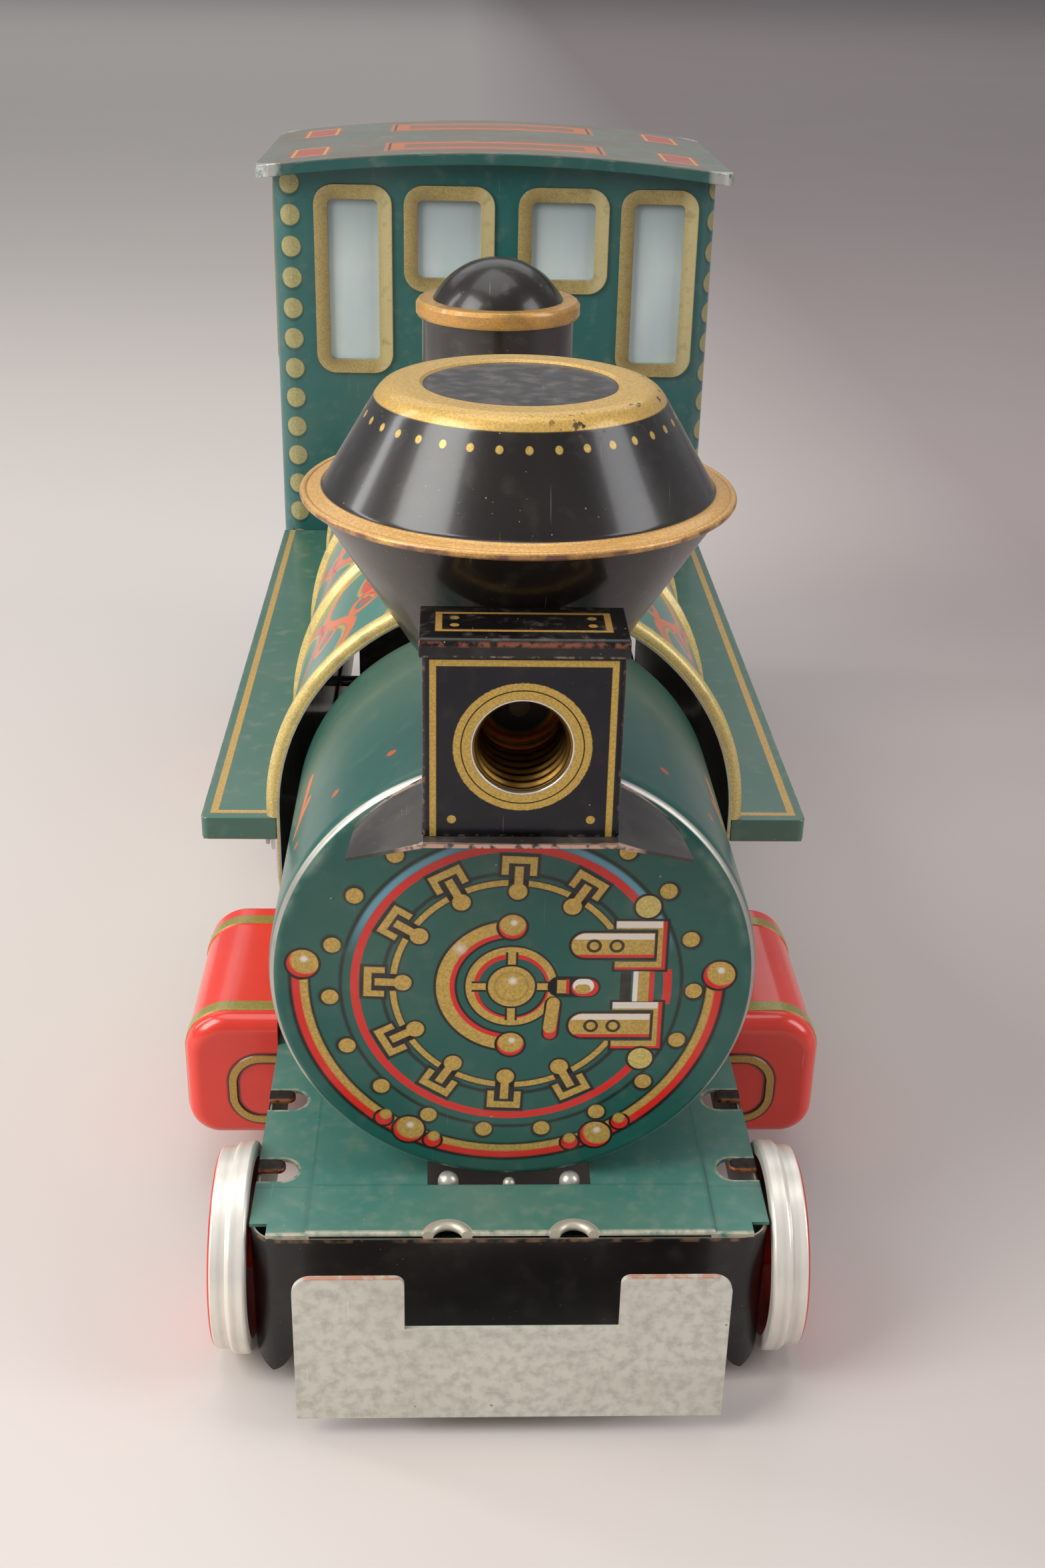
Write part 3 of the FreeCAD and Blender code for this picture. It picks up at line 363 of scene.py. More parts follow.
def gild(finish, mask, colour=GOLD):
    """Gold ink: grainy ochre with a little metal in it."""
    grain = finish.noise(0.35, 2.0)
    tint = finish.tree.nodes.new("ShaderNodeMix")
    tint.data_type = "RGBA"
    finish.plug(rise(grain, 0.35, 0.7), tint.inputs[0])
    tint.inputs[6].default_value = shade(colour, 0.8)
    tint.inputs[7].default_value = shade(colour, 1.15)
    finish.paint(mask, tint.outputs[2], metal=0.35, rough=0.38)


def age(finish, dust=0.3, scratches=0.6, specks=1.0, mottle=0.08):
    """What every lithographed sheet shows: uneven ink, short scratches, dust and wavy tin."""
    cloud = finish.noise(22, 3.0)
    finish.paint(rise(cloud, 0.45, 0.75) * mottle, DUST)
    if scratches:
        lines = most(finish.scratches((20, 35, 40)), finish.scratches((-50, 30, -35), 0.3, 7.0))
        finish.paint(lines * (0.55 * scratches), linear("b8ab98"), rough=0.5)
    if specks:
        finish.paint(finish.specks(0.9, 0.10, 0.16 * specks) * 0.6, linear("cfc3b0"), rough=0.7)
        finish.paint(finish.specks(3.1, 0.20, 0.12 * specks) * 0.7, linear("a59a8a"), rough=0.7)
    if dust:
        film = rise(finish.noise(4, 4.0), 0.55, 0.78)
        finish.paint(film * dust * 0.7, DUST, rough=0.6)
    finish.rough = finish.rough + finish.noise(12, 2.0) * 0.12
    finish.relief(finish.noise(18, 1.0) * 0.10 + finish.noise(1.1, 2.0) * 0.006)


def bare_inside(finish, mask):
    """The unprinted back of the sheet."""
    shade = finish.noise(8, 3.0)
    finish.paint(mask, TIN, metal=0.85, rough=0.42)
    finish.paint(mask * rise(shade, 0.45, 0.8) * 0.5, linear("6d675e"))


def ball(finish, p, centre, radius, lean=(-0.5, -0.6)):
    """Printed brass ball: black outline, gold, a red crescent and a white glint."""
    finish.paint(within(disc(p, centre, radius + 0.42)), BLACK)
    finish.paint(within(disc(p, centre, radius)), RED)
    inner = (centre[0] - lean[0] * radius * 0.35, centre[1] - lean[1] * radius * 0.35)
    gild(finish, least(within(disc(p, centre, radius)), within(disc(p, inner, radius * 0.95), 0.35)))
    glint = (centre[0] + radius * 0.1, centre[1] + radius * 0.35)
    finish.paint(within(disc(p, glint, radius * 0.22), 0.5) * 0.9, WHITE)


def smokebox_print():
    """Green drawn cup whose face carries the printed door, dogs, hinges, handwheel and handrail."""
    f = Finish("smokebox_print", GREEN, rough=0.24, origin=(0, face_y, boiler_z))
    front = within(f.y - 0.3, 0.2)
    p = (f.x + 0.3, f.z + 0.9)
    around = calc("ARCTAN2", p[1], p[0])
    r = hypot(p[0], p[1])
    f.mottle(DEEP_GREEN, 15, (0.4, 0.7), 0.25, 2.0)
    right_gap = least(within(math.radians(-33) - around, 0.02), within(around - math.radians(34), 0.02))

    # rings of the door
    # painted highlight: a pale blue arc on the upper part of the door ring, where light catches its edge
    highlight_arcs = within(abs(abs(around - math.radians(90)) - math.radians(42)) - math.radians(26), 0.3)
    f.paint(front * within(hoop(p, (0, 0), 25.5, 0.55), 0.5) * highlight_arcs * 0.8, HIGHLIGHT_BLUE)
    f.paint(front * within(hoop(p, (0, 0), 26.5, 0.3), 0.35) * 0.9, BLACK)
    f.paint(front * within(hoop(p, (0, 0), 20.0, 0.32), 0.3) * (1 - right_gap) * 0.9, BLACK)
    between_hinges = within(abs(p[1]) - 3.2)
    ring = within(hoop(p, (0, 0), 24.3, 0.66)) * most(1 - right_gap, between_hinges * within(-p[0]))
    f.paint(front * ring, RED)
    f.paint(front * within(hoop(p, (0, 0), 18.4, 0.75), 0.3) * (1 - right_gap) * 0.85, BLACK)
    gild(f, front * within(hoop(p, (0, 0), 18.4, 0.48)) * (1 - right_gap))

    # dogs that clamp the door
    out, side, sector = spokewise(p, (0, 0), 12, -2.3)
    dogs = front * within(1.5 - abs(sector), 0.1)
    q = (out, side)
    bracket = most(bar(q, (19.7, 22.9), (-2.66, 2.66)), -bar(q, (18.0, 21.7), (-1.6, 1.6)))
    stem = bar(q, (17.6, 21.2), (-0.65, 0.65))
    f.ink(dogs, BLACK, bar(q, (19.2, 23.5), (-3.15, 3.15)), 0.3)
    f.gold(dogs, bracket)
    f.ink(dogs, BLACK, bar(q, (17.6, 21.6), (-1.55, 1.55)), 0.15)
    f.gold(dogs, stem)
    f.ink(dogs * within(disc(q, (16.9, 0), 1.75)), BLACK, out - 18.0, 0.3)
    f.gold(dogs, disc(q, (16.9, 0), 1.4))

    # rivets round the door
    out, side, sector = spokewise((f.x, f.z - 0.1), (-0.2, 0), 19, 261.7)
    f.paint(front * within(disc((out, side), (28.5, -0.1), 1.75), 0.4) * 0.9, BLACK)
    f.gold(front, disc((out, side), (28.4, 0), 1.32))

    # curved handle and handwheel
    left = within(p[0], 0.2)
    f.ink(front * left, BLACK, hoop(p, (0, 0), 10.3, 1.85))
    f.ink(front * left, RED, hoop(p, (0, 0), 9.3, 0.45))
    f.gold(front * left, hoop(p, (0, 0), 10.65, 1.05))
    f.paint(front * left * within(disc(p, (-8.0, 6.8), 0.6), 1.4) * 0.8, WHITE)
    for z in (10.7, -10.7):
        ball(f, p, (0, z), 2.1, (0, -0.7))
    f.ink(front, BLACK, hoop(p, (0, 0), 6.35, 1.1))
    f.ink(front, RED, hoop(p, (0.15, -0.25), 5.95, 0.6))
    f.gold(front, hoop(p, (0, 0), 6.5, 0.62))
    for degrees in (0, 90, 180, 270):
        spoke = turned(p, degrees)
        f.ink(front, BLACK, bar(spoke, (3.2, 6.2), (-0.95, 0.95)))
        f.gold(front, bar(spoke, (3.2, 6.3), (-0.6, 0.6)))
    f.ink(front, BLACK, disc(p, (0, 0), 4.0))
    f.gold(front, disc(p, (0, 0), 3.65))
    f.paint(front * within(hoop(p, (0, 0), 2.6, 0.12), 0.4) * 0.5, linear("6e5a1f"))
    f.ink(front, WHITE, disc(p, (0.2, 1.0), 0.55), 0.7)

    # grips of the handwheel
    f.ink(front, BLACK, capsule(p, (7.5, 0), (12.0, -0.1), 1.9))
    f.gold(front, bar(p, (7.1, 8.9), (-1.2, 1.2)))
    f.ink(front, RED, bar(p, (8.5, 9.0), (-1.3, 1.3)))
    f.ink(front, RED, capsule(p, (10.9, -0.2), (12.0, -0.2), 1.55))
    f.ink(front, WHITE, capsule(p, (10.8, 0.15), (11.6, 0.15), 1.25))
    f.gold(front, capsule(p, (10.7, -0.45), (11.5, -0.45), 0.85))
    f.ink(front, BLACK, capsule(p, (6.6, -3.2), (6.2, -8.6), 1.4))
    f.ink(front, RED, capsule(p, (6.6, -3.2), (6.2, -8.7), 1.0))
    f.gold(front, capsule(p, (6.6, -3.0), (6.1, -7.6), 1.0))

    # hinges
    for z in (7.45, -7.15):
        h = (p[0], p[1] - z)
        clasp = most(bar(h, (15.9, 23.7), (-4.3, 4.3)), -bar(h, (10, 22.3), (-2.85, 2.85)))
        f.ink(front, BLACK, clasp - 0.45)
        f.ink(front, RED, clasp)
        f.gold(front, most(clasp, bar(h, (15.9, 23.1), (-3.9, 4.3))))
        f.paint(front * within(bar(h, (15.9, 23.0), (3.15, 4.3))) * 0.92, WHITE)
        f.ink(front, DEEP_GREEN, bar(h, (14.0, 22.3), (-2.9, 2.9)))
        strap = least(capsule(h, (11.3, 0), (16.0, 0), 2.2), bar(h, (12.0, 21.9), (-2.2, 2.2)))
        f.ink(front, BLACK, strap - 0.45)
        f.ink(front, RED, strap)
        f.gold(front, most(strap, -1.65 - h[1]))
        f.paint(front * within(most(strap + 0.1, 1.05 - h[1])) * 0.92, WHITE)
        for x in (12.6, 16.1):
            f.ink(front, linear("3a3414"), hoop(h, (x, -0.1), 0.95, 0.24))
    pin_z = within(abs(p[1] - 0.05) - 2.75)
    for x_span, colour in (((16.9, 18.6), BLACK), ((18.9, 19.7), WHITE), ((21.4, 22.2), RED)):
        f.ink(front * pin_z, colour, abs(p[0] - sum(x_span) / 2) - (x_span[1] - x_span[0]) / 2)
    f.gold(front * pin_z, abs(p[0] - 20.55) - 0.85)
    for centre in ((20.6, 14.3), (20.7, -13.4)):
        f.ink(front, BLACK, disc(p, centre, 2.35))
        f.gold(front, disc(p, centre, 1.93), colour=PALE_GOLD)

    # handrail that runs round under the door
    rail = (f.x + 0.8, f.z + 0.2)
    lower = front * within(rail[1] - 2.0, 0.3)
    f.ink(lower, BLACK, hoop(rail, (0, 0), 32.3, 1.75), 0.35)
    f.ink(lower, RED, hoop(rail, (0, 0), 32.75, 0.7), 0.3)
    f.gold(lower, hoop(rail, (0, 0), 31.6, 0.62), 0.3)
    for degrees in (176, 232.5, 248.5, 289, 305, 3):
        c, s = math.cos(math.radians(degrees)), math.sin(math.radians(degrees))
        f.ink(front, BLACK, disc(rail, (32.2 * c, 32.2 * s), 1.75))
        f.ink(front, RED, disc(rail, (32.2 * c, 32.2 * s), 1.35))
        f.gold(front, disc(rail, (31.8 * c + 0.1, 31.8 * s + 0.4), 0.95), 0.3)
    for centre in ((-31.7, 3.4), (32.8, 1.4), (-15.6, -27.8), (14.6, -28.9)):
        ball(f, rail, centre, 2.45)

    # dots and scroll strokes on the barrel behind the rim
    barrel = within(1.5 - f.y, 0.5)
    arc = calc("ARCTAN2", f.x, f.z) * smokebox_r
    dots = barrel * within(disc((repeated(arc, 11.2, 2.5), f.y), (0, 13.0), 0.8), 0.3)
    f.gold(dots, abs(arc) - 46, 1, colour=ORANGE)
    scroll = (abs(arc) - 43.0, f.y)
    for start, end in (((0, 22), (-2.5, 34)), ((1.5, 20), (-3.0, 25))):
        f.ink(barrel, ORANGE, capsule(scroll, start, end, 0.9), 0.4)

    # pale rim, partly wear and partly a painted highlight along its upper part; dust low on the face
    rim = within(abs(r - smokebox_r + 1.3) - 0.5, 1.6) * rise(f.z, -5, 20)
    f.paint(rim * rise(f.noise(5, 3.0, stretch=(1, 1, 1)), 0.4, 0.75) * 0.5, linear("b9c9bb"), rough=0.5)
    barrel_dust = rise(f.y, 10, smokebox_rear - face_y) * rise(f.z, 10, 36)
    f.paint(barrel_dust * 0.35, linear("7d7f66"), rough=0.55)
    age(f, dust=0.12, scratches=0.25, specks=0.35)
    inside = within(0.3 - f.y, 0.1) * within(hypot(f.x, f.z) - smokebox_r + 0.35, 0.1)
    bare_inside(f, inside)
    return f.done(coat=0.2, coat_rough=0.12, specular_ior_level=0.35)


def boiler_print():
    """Green wrapper with gold bands and red and gold scrolls between them."""
    f = Finish("boiler_print", linear("3c7a6c"), rough=0.28, origin=(0, face_y, boiler_z))
    r = hypot(f.x, f.z)
    mirrored_arc = abs(calc("ARCTAN2", f.x, f.z) * boiler_r)
    cell = repeated(f.y, 50.0, 132.0)
    wave = calc("SINE", f.y * 0.21) * 5.0
    dark_red = linear("c9402a")
    for place, colour, half in ((14.0, ORANGE, 1.0), (24.0, dark_red, 1.5),
                                (36.0, ORANGE, 1.2), (46.0, dark_red, 1.0)):
        sway = calc("SINE", f.y * 0.17 + place) * 4.5
        f.paint(within(abs(mirrored_arc - place - sway) - half, 0.6), colour)
        gild(f, within(abs(mirrored_arc - place - sway - 2.0) - 0.5, 0.5))
    for arc_place in (8.0, 19.0, 30.0, 41.0):
        curl = (mirrored_arc - arc_place - wave * 0.3, cell)
        f.paint(within(hoop(curl, (0, 0), 3.4, 0.8), 0.5), ORANGE)
        f.paint(within(disc(curl, (0, 0), 1.3), 0.5), dark_red)
    frame_line = abs(abs(cell) - 19.5) - 0.5
    f.gold(within(frame_line, 0.4), mirrored_arc - 52, 1)
    bands = most(within(f.y - smokebox_rear + face_y - 6.5, 0.3), rise(r, boiler_r + 0.15, boiler_r + 0.5))
    for place in BAND_PLACES:
        bands = most(bands, within(abs(f.y - place) - 3.6, 0.3))
    gild(f, bands, linear("ddc377"))
    f.mottle(linear("8a7740"), 4, (0.55, 0.75), 0.35, 3.0, where=bands, rough=0.5)
    dome_foot = hoop((f.x, f.y), (0, dome_y - face_y), 18.5, 0.45)
    gild(f, within(dome_foot) * rise(f.z, 0, 1))
    age(f, dust=0.3, scratches=0.3, specks=0.5)
    bare_inside(f, within(r - boiler_r + 0.3, 0.1) * rise(f.z, -0.5, 0.0))
    bare_inside(f, within(abs(f.x) - boiler_r + 0.3, 0.1) * (1 - rise(f.z, -0.5, 0.0)))
    return f.done(coat=0.5, coat_rough=0.15)


def board_print():
    """Green running board with an orange-gold line near its outer and front edges."""
    f = Finish("board_print", linear("3a6656"), rough=0.3, origin=(0, board_low.y, board_high.z))
    x, top = abs(f.x), within(-f.z - 0.15, 0.1)
    line = least(abs(x - board_high.x + 2.3) - 0.7, abs(f.y - 2.6) - 0.6)
    line = most(line, x - board_high.x + 1.6, 2.0 - f.y, boiler_r + 1.5 - x)
    f.gold(top, line, colour=linear("cfa452"))
    edge = within(abs(x - board_high.x) - 0.4, 0.4) * within(-f.z - 0.7, 0.4)
    f.mottle(linear("9a8f7c"), 3, (0.45, 0.7), 0.7, 3.0, where=edge, metal=0.5, rough=0.4)
    age(f, dust=0.35, scratches=0.4, specks=0.6)
    sheet = rounded_bar((x, f.y), (0, board_high.x), (0, 400), 1.5)
    bare_inside(f, within(f.z + tin - 0.1, 0.1) * within(sheet + 0.3, 0.1))
    return f.done(coat=0.45, coat_rough=0.16)


def deck_print():
    """Dusty green front deck with pale cut edges at its slots and notches."""
    f = Finish("deck_print", linear("44796c"), rough=0.38, origin=(0, face_y, deck_high.z))
    f.mottle(linear("6f8a79"), 20, (0.42, 0.7), 0.35, 3.0, rough=0.5)
    f.mottle(linear("8a9684"), 2.5, (0.5, 0.72), 0.25, rough=0.6)
    bare = linear("d3cbb8")
    for x in (-10.0, 10.0):
        notch = disc((f.x, f.y), (x, deck_low.y - face_y - 0.8), 4.15)
        f.paint(within(notch, 0.2), bare, metal=0.5, rough=0.34)
    for place in TAB_PLACES:
        slot = capsule((abs(f.x), f.y), (37.6, place), (46.0, place), 2.9)
        f.mottle(linear("a5a18a"), 1.4, (0.35, 0.6), 1.0, 3.0, where=within(slot - 0.45, 0.3), rough=0.5)
    # painted shade: soft darker lines along the deck's creases
    crease_shade = least(abs(abs(f.x) - 32.2) - 0.2, abs(f.y + 1.6) - 0.15)
    f.paint(within(crease_shade, 0.5) * 0.35, DEEP_GREEN)
    # pale front edge: partly wear, partly a painted highlight on the rolled edge
    front_edge_wear_and_highlight = within(f.y - deck_low.y + face_y - 0.7, 0.4) * rise(f.noise(2.2, 3.0), 0.3, 0.55)
    f.paint(front_edge_wear_and_highlight * 0.9, linear("cfc6b0"), metal=0.4, rough=0.45)
    age(f, dust=0.2, scratches=0.4, specks=0.8)
    return f.done(coat=0.3, coat_rough=0.25)


def tab_finish():
    """Steel tabs: their dark ground is painted shade of the slots where they lie; worn pale on the round
    studs.
    """
    # the dark ground stands in as painted shade inside the slots
    f = Finish("tab_steel", linear("39302c"), metal=0.6, rough=0.45, origin=(0, face_y, deck_high.z))
    f.mottle(linear("241d1a"), 1.2, (0.42, 0.66), 0.7, rough=0.6)
    lower = within(f.z + 0.55, 0.2) * rise(f.noise(0.8, 3.0), 0.3, 0.5)
    f.paint(lower, linear("a8643a"), metal=0.2, rough=0.5)
    studs = within(abs(f.x) - 14, 1)
    f.paint(studs, linear("cdc8bd"), metal=0.5, rough=0.35)
    f.mottle(linear("8e867a"), 1.5, (0.5, 0.7), 0.5, 3.0, where=studs, rough=0.5)
    f.relief(f.noise(0.8, 3.0) * 0.008)
    return f.done()


def lamp_print():
    """Black lamp front with a gold frame, a gold ring round the hole and two dots."""
    f = Finish("lamp_print", linear("101018"), rough=0.18, origin=(0, lamp_low.y, 115.0))
    p = (f.x, f.z)
    front = within(f.y - 0.3, 0.2)
    f.mottle(linear("1b1b26"), 6, (0.45, 0.75), 0.4, 3.0, rough=0.26)
    top, half = 12.4, 12.3
    frame_line = least(most(abs(abs(p[0]) - half) - 0.45, p[1] - top - 0.45),
                       most(abs(p[1] - top) - 0.45, abs(p[0]) - half - 0.45))
    f.gold(front, frame_line)
    ragged = f.noise(0.5, 2.0) * 0.25 - 0.12
    f.gold(front, hoop(p, (0, 0), 8.35, 1.2) + ragged)
    f.ink(front, BLACK, hoop(p, (0, 0), 8.45, 0.09), 0.1)
    for x in (-9.7, 9.7):
        f.gold(front, disc(p, (x, -11.0), 0.62))
    f.paint(within(abs(disc(p, (0, 0), 6.9)) - 0.22, 0.12), linear("e6e1dc"), metal=1.0, rough=0.22)
    notch = bar(p, (-2.9, 2.9), (-14.0, -13.0))
    f.ink(front, linear("050404"), notch, 0.2)
    corner = most(within(abs(abs(f.x) - lamp_high.x) - 0.4, 0.4) * within(abs(f.y) - 0.5, 0.4),
                  within(f.z + 13.4, 0.3))
    f.mottle(linear("8f6a54"), 1.2, (0.55, 0.66), 0.6, 3.0, where=corner, metal=0.5, rough=0.4)
    age(f, dust=0.05, scratches=0.7, specks=1.8, mottle=0.02)
    sheet = rounded_bar((f.x, f.y), (lamp_low.x, lamp_high.x), (0, lamp_high.y - lamp_low.y), 0.8)
    bare_inside(f, within(sheet + 0.3, 0.1))
    return f.done(coat=0.1, coat_rough=0.08, specular_ior_level=0.3)


def lid_print():
    """Black lid with a gold rectangle, dots at its ends and a thin worn brown lip."""
    middle_y = (cap_low.y + cap_high.y) / 2
    f = Finish("lid_print", BLACK, rough=0.24, origin=(0, middle_y, cap_high.z + LID_LIFT))
    top = within(-f.z - 0.3, 0.2)
    p = (abs(f.x), f.y - 0.6)
    f.gold(top, most(bar(p, (-12, 12.0), (-4.0, 3.4)), -bar(p, (-12, 11.1), (-3.3, 2.7))),
           colour=linear("c99a50"))
    for y in (-1.6, 1.2):
        f.gold(top, disc(p, (9.4, y), 0.62), colour=linear("c99a50"))
    f.mottle(linear("6f665c"), 2, (0.55, 0.75), 0.4, where=top, rough=0.5)
    front = within(f.y - (cap_low.y - cap_high.y) / 2 - 0.9, 0.5)
    lip = front * within(abs(f.z + 0.75) - 0.3, 0.35)
    f.mottle(linear("8b4f3a"), 1.1, (0.42, 0.58), where=lip, metal=0.3, rough=0.4)
    edge = within(abs(f.z + 2.5) - 0.15, 0.2)
    f.mottle(linear("a88f7c"), 1.2, (0.52, 0.64), 0.7, where=edge, metal=0.6, rough=0.35)
    age(f, dust=0.08, scratches=0.8, specks=2.0, mottle=0.03)
    return f.done(coat=0.2, coat_rough=0.1, specular_ior_level=0.35)


def worn_black(name, dust=0.1, specks=1.2, coat=0.35, ground=WARM_BLACK):
    """Gloss black enamel with dust and scratches."""
    f = Finish(name, ground, rough=0.22, origin=(0, 0, 0))
    f.mottle(linear("2c2622"), 9, (0.45, 0.75), 0.3, 3.0, rough=0.3)
    age(f, dust=dust, scratches=0.8, specks=specks, mottle=0.03)
    return f.done(coat=coat, coat_rough=0.12, specular_ior_level=0.35)


def bracket_finish():
    """Black lamp bracket, worn pinkish-bright along its front and rear edges."""
    f = Finish("bracket_black", linear("2b2624"), rough=0.36, origin=(0, lamp_low.y, lamp_low.z))
    f.mottle(linear("4c4641"), 7, (0.42, 0.7), 0.5, 3.0, rough=0.45)
    front = within(f.y + 2.2 - abs(f.x) * 0.03, 0.3)
    rear = within(13.0 - f.y, 0.6)
    edge = most(front, rear) * rise(f.noise(1.3, 4.0), 0.36, 0.5)
    f.paint(edge, linear("c7a392"), metal=0.75, rough=0.32)
    age(f, dust=0.15, scratches=0.6, specks=1.8, mottle=0.04)
    return f.done(coat=0.3, coat_rough=0.2)


def stack_upper_print():
    """Black cone with dots, a gold brim and a gold ring round the flat black top."""
    f = Finish("stack_upper_print", WARM_BLACK, rough=0.2, origin=(0, stack_y, STACK_RISE))
    r = hypot(f.x, f.y)
    f.mottle(linear("2b2521"), 10, (0.45, 0.75), 0.3, 3.0, rough=0.28)
    gild(f, within(most(r - 21.4, 14.3 - r), 0.15) * rise(f.z, 153.3, 153.5), linear("d0a858"))
    out, side = spokewise((f.x, f.y), (0, 0), 35, 4.0)[:2]
    gild(f, within(disc((out * 1.7, side), (22.7 * 1.7, 0), 0.53), 0.15) * rise(f.z, 141.6, 142.0))
    low = 1 - rise(f.z, 141.1, 141.3)
    f.gold(low, 29.4 - r, 0.2, colour=linear("dca95e"))
    rim = within(abs(f.z - 139.3) - 0.45, 0.3) * within(stack_high.x - 0.5 - r, 0.3)
    f.mottle(linear("6f4a44"), 3.5, (0.35, 0.6), 0.9, where=rim, metal=0.4, rough=0.42)
    top = rise(f.z, 154.7, 155.0) * within(r - 14.0, 0.2)
    f.paint(top, linear("211c1b"), metal=0.0, rough=0.34)
    f.mottle(linear("7a716a"), 3, (0.45, 0.7), 0.45, where=top, rough=0.6)
    chips = rise(f.noise(1.8, 4.0), 0.62, 0.66) * within(abs(r - 20.5) - 1.6, 0.8) * rise(f.x, -2, 8)
    f.paint(chips, linear("3a2c22"), rough=0.5)
    age(f, dust=0.08, scratches=0.7, specks=1.6, mottle=0.03)
    return f.done(coat=0.45, coat_rough=0.12, specular_ior_level=0.35)


def dome_print():
    """Black dome wall under a gold rolled ring."""
    f = Finish("dome_print", WARM_BLACK, rough=0.22, origin=(0, dome_y, 0))
    gild(f, rise(f.z, dome_high.z - 3.75, dome_high.z - 3.65), linear("cf9a4c"))
    f.mottle(linear("3a2c24"), 7, (0.5, 0.72), 0.4, rough=0.35)
    age(f, dust=0.15, scratches=0.7, specks=0.8)
    return f.done(coat=0.6, coat_rough=0.12)


def cab_print():
    """Green cab with gold raised window frames, rivet columns at the corners and a bare tin inside."""
    front_y, half, corner = cab_low.y + 0.7, cab_high.x - 0.7, 5.0
    f = Finish("cab_print", linear("1f5f5c"), rough=0.28, origin=(0, front_y, 0))
    f.mottle(linear("2b564c"), 18, (0.45, 0.7), 0.3, 3.0)
    depth = cab_high.y - front_y
    sheet = rounded_bar((f.x, f.y), (-half, half), (0, depth + 2 * corner), corner)
    z_row = repeated(f.z, 7.7, 158.1)
    khaki = linear("aaa26e")
    rows = rise(f.z, 62, 62.5)
    for x, y in ((-51.8, 0.0), (55.8, 3.0), (half, depth - 7.0), (-half, depth - 7.0)):
        plan = hypot(f.x - x, f.y - y)
        f.paint(within(hypot(plan, z_row + 0.4) - 3.0, 0.3) * rows, DEEP_GREEN)
        gild(f, within(hypot(plan, z_row) - 2.55, 0.3) * rows, khaki)
    raised = most(within(f.y + 0.2, 0.15), within(half + 0.2 - abs(f.x), 0.15))
    gild(f, raised, linear("b9a468"))
    for x_span, sill in FRONT_WINDOWS:
        frame_edge = rounded_bar((f.x, f.z), x_span, (sill, WINDOW_TOP), 5.0) + 1.75
        p = (f.x - sum(x_span) / 2) / (x_span[1] - x_span[0])
        # painted shade on the left of each raised frame and a painted highlight along its right inner edge
        f.paint(raised * within(frame_edge, 3.0) * rise(-p, -0.1, 0.3) * 0.55, linear("5d4d2a"))
        f.paint(raised * within(frame_edge - 1.6, 0.4) * rise(p, 0.25, 0.4) * 0.7, linear("ded19c"))
    f.mottle(linear("6a5a2c"), 3, (0.55, 0.7), 0.3, 3.0, where=raised, rough=0.5)
    line = most(within(abs(f.z - 64) - 0.6), within(abs(f.z - 40) - 0.6))
    f.gold(line, half - 0.5 - abs(f.x), 0.3, colour=linear("b7a05a"))
    age(f, dust=0.2, scratches=0.4, specks=0.8)
    bare_inside(f, within(sheet + 0.3, 0.1))
    return f.done(coat=0.5, coat_rough=0.14)


def roof_print():
    """Roof painted grey-brown on top, the grey a painted reflection of the bright surroundings, with an
    orange band, red corner patches, a dark lip and bare worn corners that also act as painted highlights.
    """
    middle_y, length = (roof_low.y + roof_high.y) / 2, (roof_high.y - roof_low.y) / 2
    f = Finish("roof_print", linear("1c5450"), rough=0.32, origin=(0, middle_y, roof_high.z))
    x, y = abs(f.x), abs(f.y)
    crown = f.z + ROOF_ARC_R - calc("SQRT", ROOF_ARC_R ** 2 - x * x)
    above = rise(crown, -0.5, -0.3)
    # painted reflection: the top is painted grey for the bright surroundings seen at a grazing angle
    f.paint(above, linear("646a60"), rough=0.45)
    f.mottle(linear("6f5d4a"), 14, (0.4, 0.65), 0.7, where=above, rough=0.5)
    panel = bar((x, y), (-28, 28), (length - 27, length - 8))
    f.ink(above, linear("b9683c"), panel, 0.5)
    f.ink(above, linear("86604a"), panel + 5.0, 0.5)
    f.ink(above, linear("3a3428"), abs(panel + 1.2) - 0.3, 0.3)
    patch = bar((x, y), (42, 52), (length - 27, length - 8))
    f.ink(above, linear("a8503c"), patch, 0.8)
    f.ink(above, linear("c99a4a"), abs(patch + 1.0) - 0.35, 0.3)
    # pale corners: partly bare worn tin, partly painted highlights on the rounded corners
    corner = within(roof_high.x + length - 6.0 - x - y, 2.0)
    f.mottle(linear("c9ccc2"), 2, (0.3, 0.5), 1.0, 3.0, where=corner, metal=0.8, rough=0.35)
    lip = within(abs(crown + 0.3) - 0.25, 0.25) * (1 - above * within(x - roof_high.x + 1.2, 0.3))
    f.mottle(linear("a3a898"), 3, (0.55, 0.7), 0.6, where=lip, metal=0.4, rough=0.4)
    age(f, dust=0.3, scratches=0.5, specks=0.8)
    return f.done(coat=0.35, coat_rough=0.2)


def pan_finish():
    """Black chassis pan: glossy, scratched, with bright worn edges."""
    f = Finish("pan_black", linear("171415"), rough=0.26, origin=(0, pan_low.y, pan_high.z))
    f.mottle(linear("2b2624"), 16, (0.42, 0.7), 0.3, 3.0, rough=0.34)
    edge = within(abs(f.z + 0.2) - 0.25, 0.3) * rise(f.noise(2.5, 4.0), 0.45, 0.6)
    f.paint(edge, linear("8d6a52"), metal=0.6, rough=0.4)
    chips = f.specks(9, 0.9, 0.3) * rise(f.noise(3, 3.0), 0.4, 0.6)
    f.paint(chips * 0.7, linear("6b4636"), rough=0.5)
    age(f, dust=0.06, scratches=0.8, specks=1.2, mottle=0.03)
    length = pan_high.y - pan_low.y
    sheet = rounded_bar((f.x, f.y), (pan_low.x, pan_high.x), (0, length + 10.0), 5.0)
    bare_inside(f, within(sheet + 0.3, 0.1))
    return f.done(coat=0.15, coat_rough=0.14, specular_ior_level=0.35)


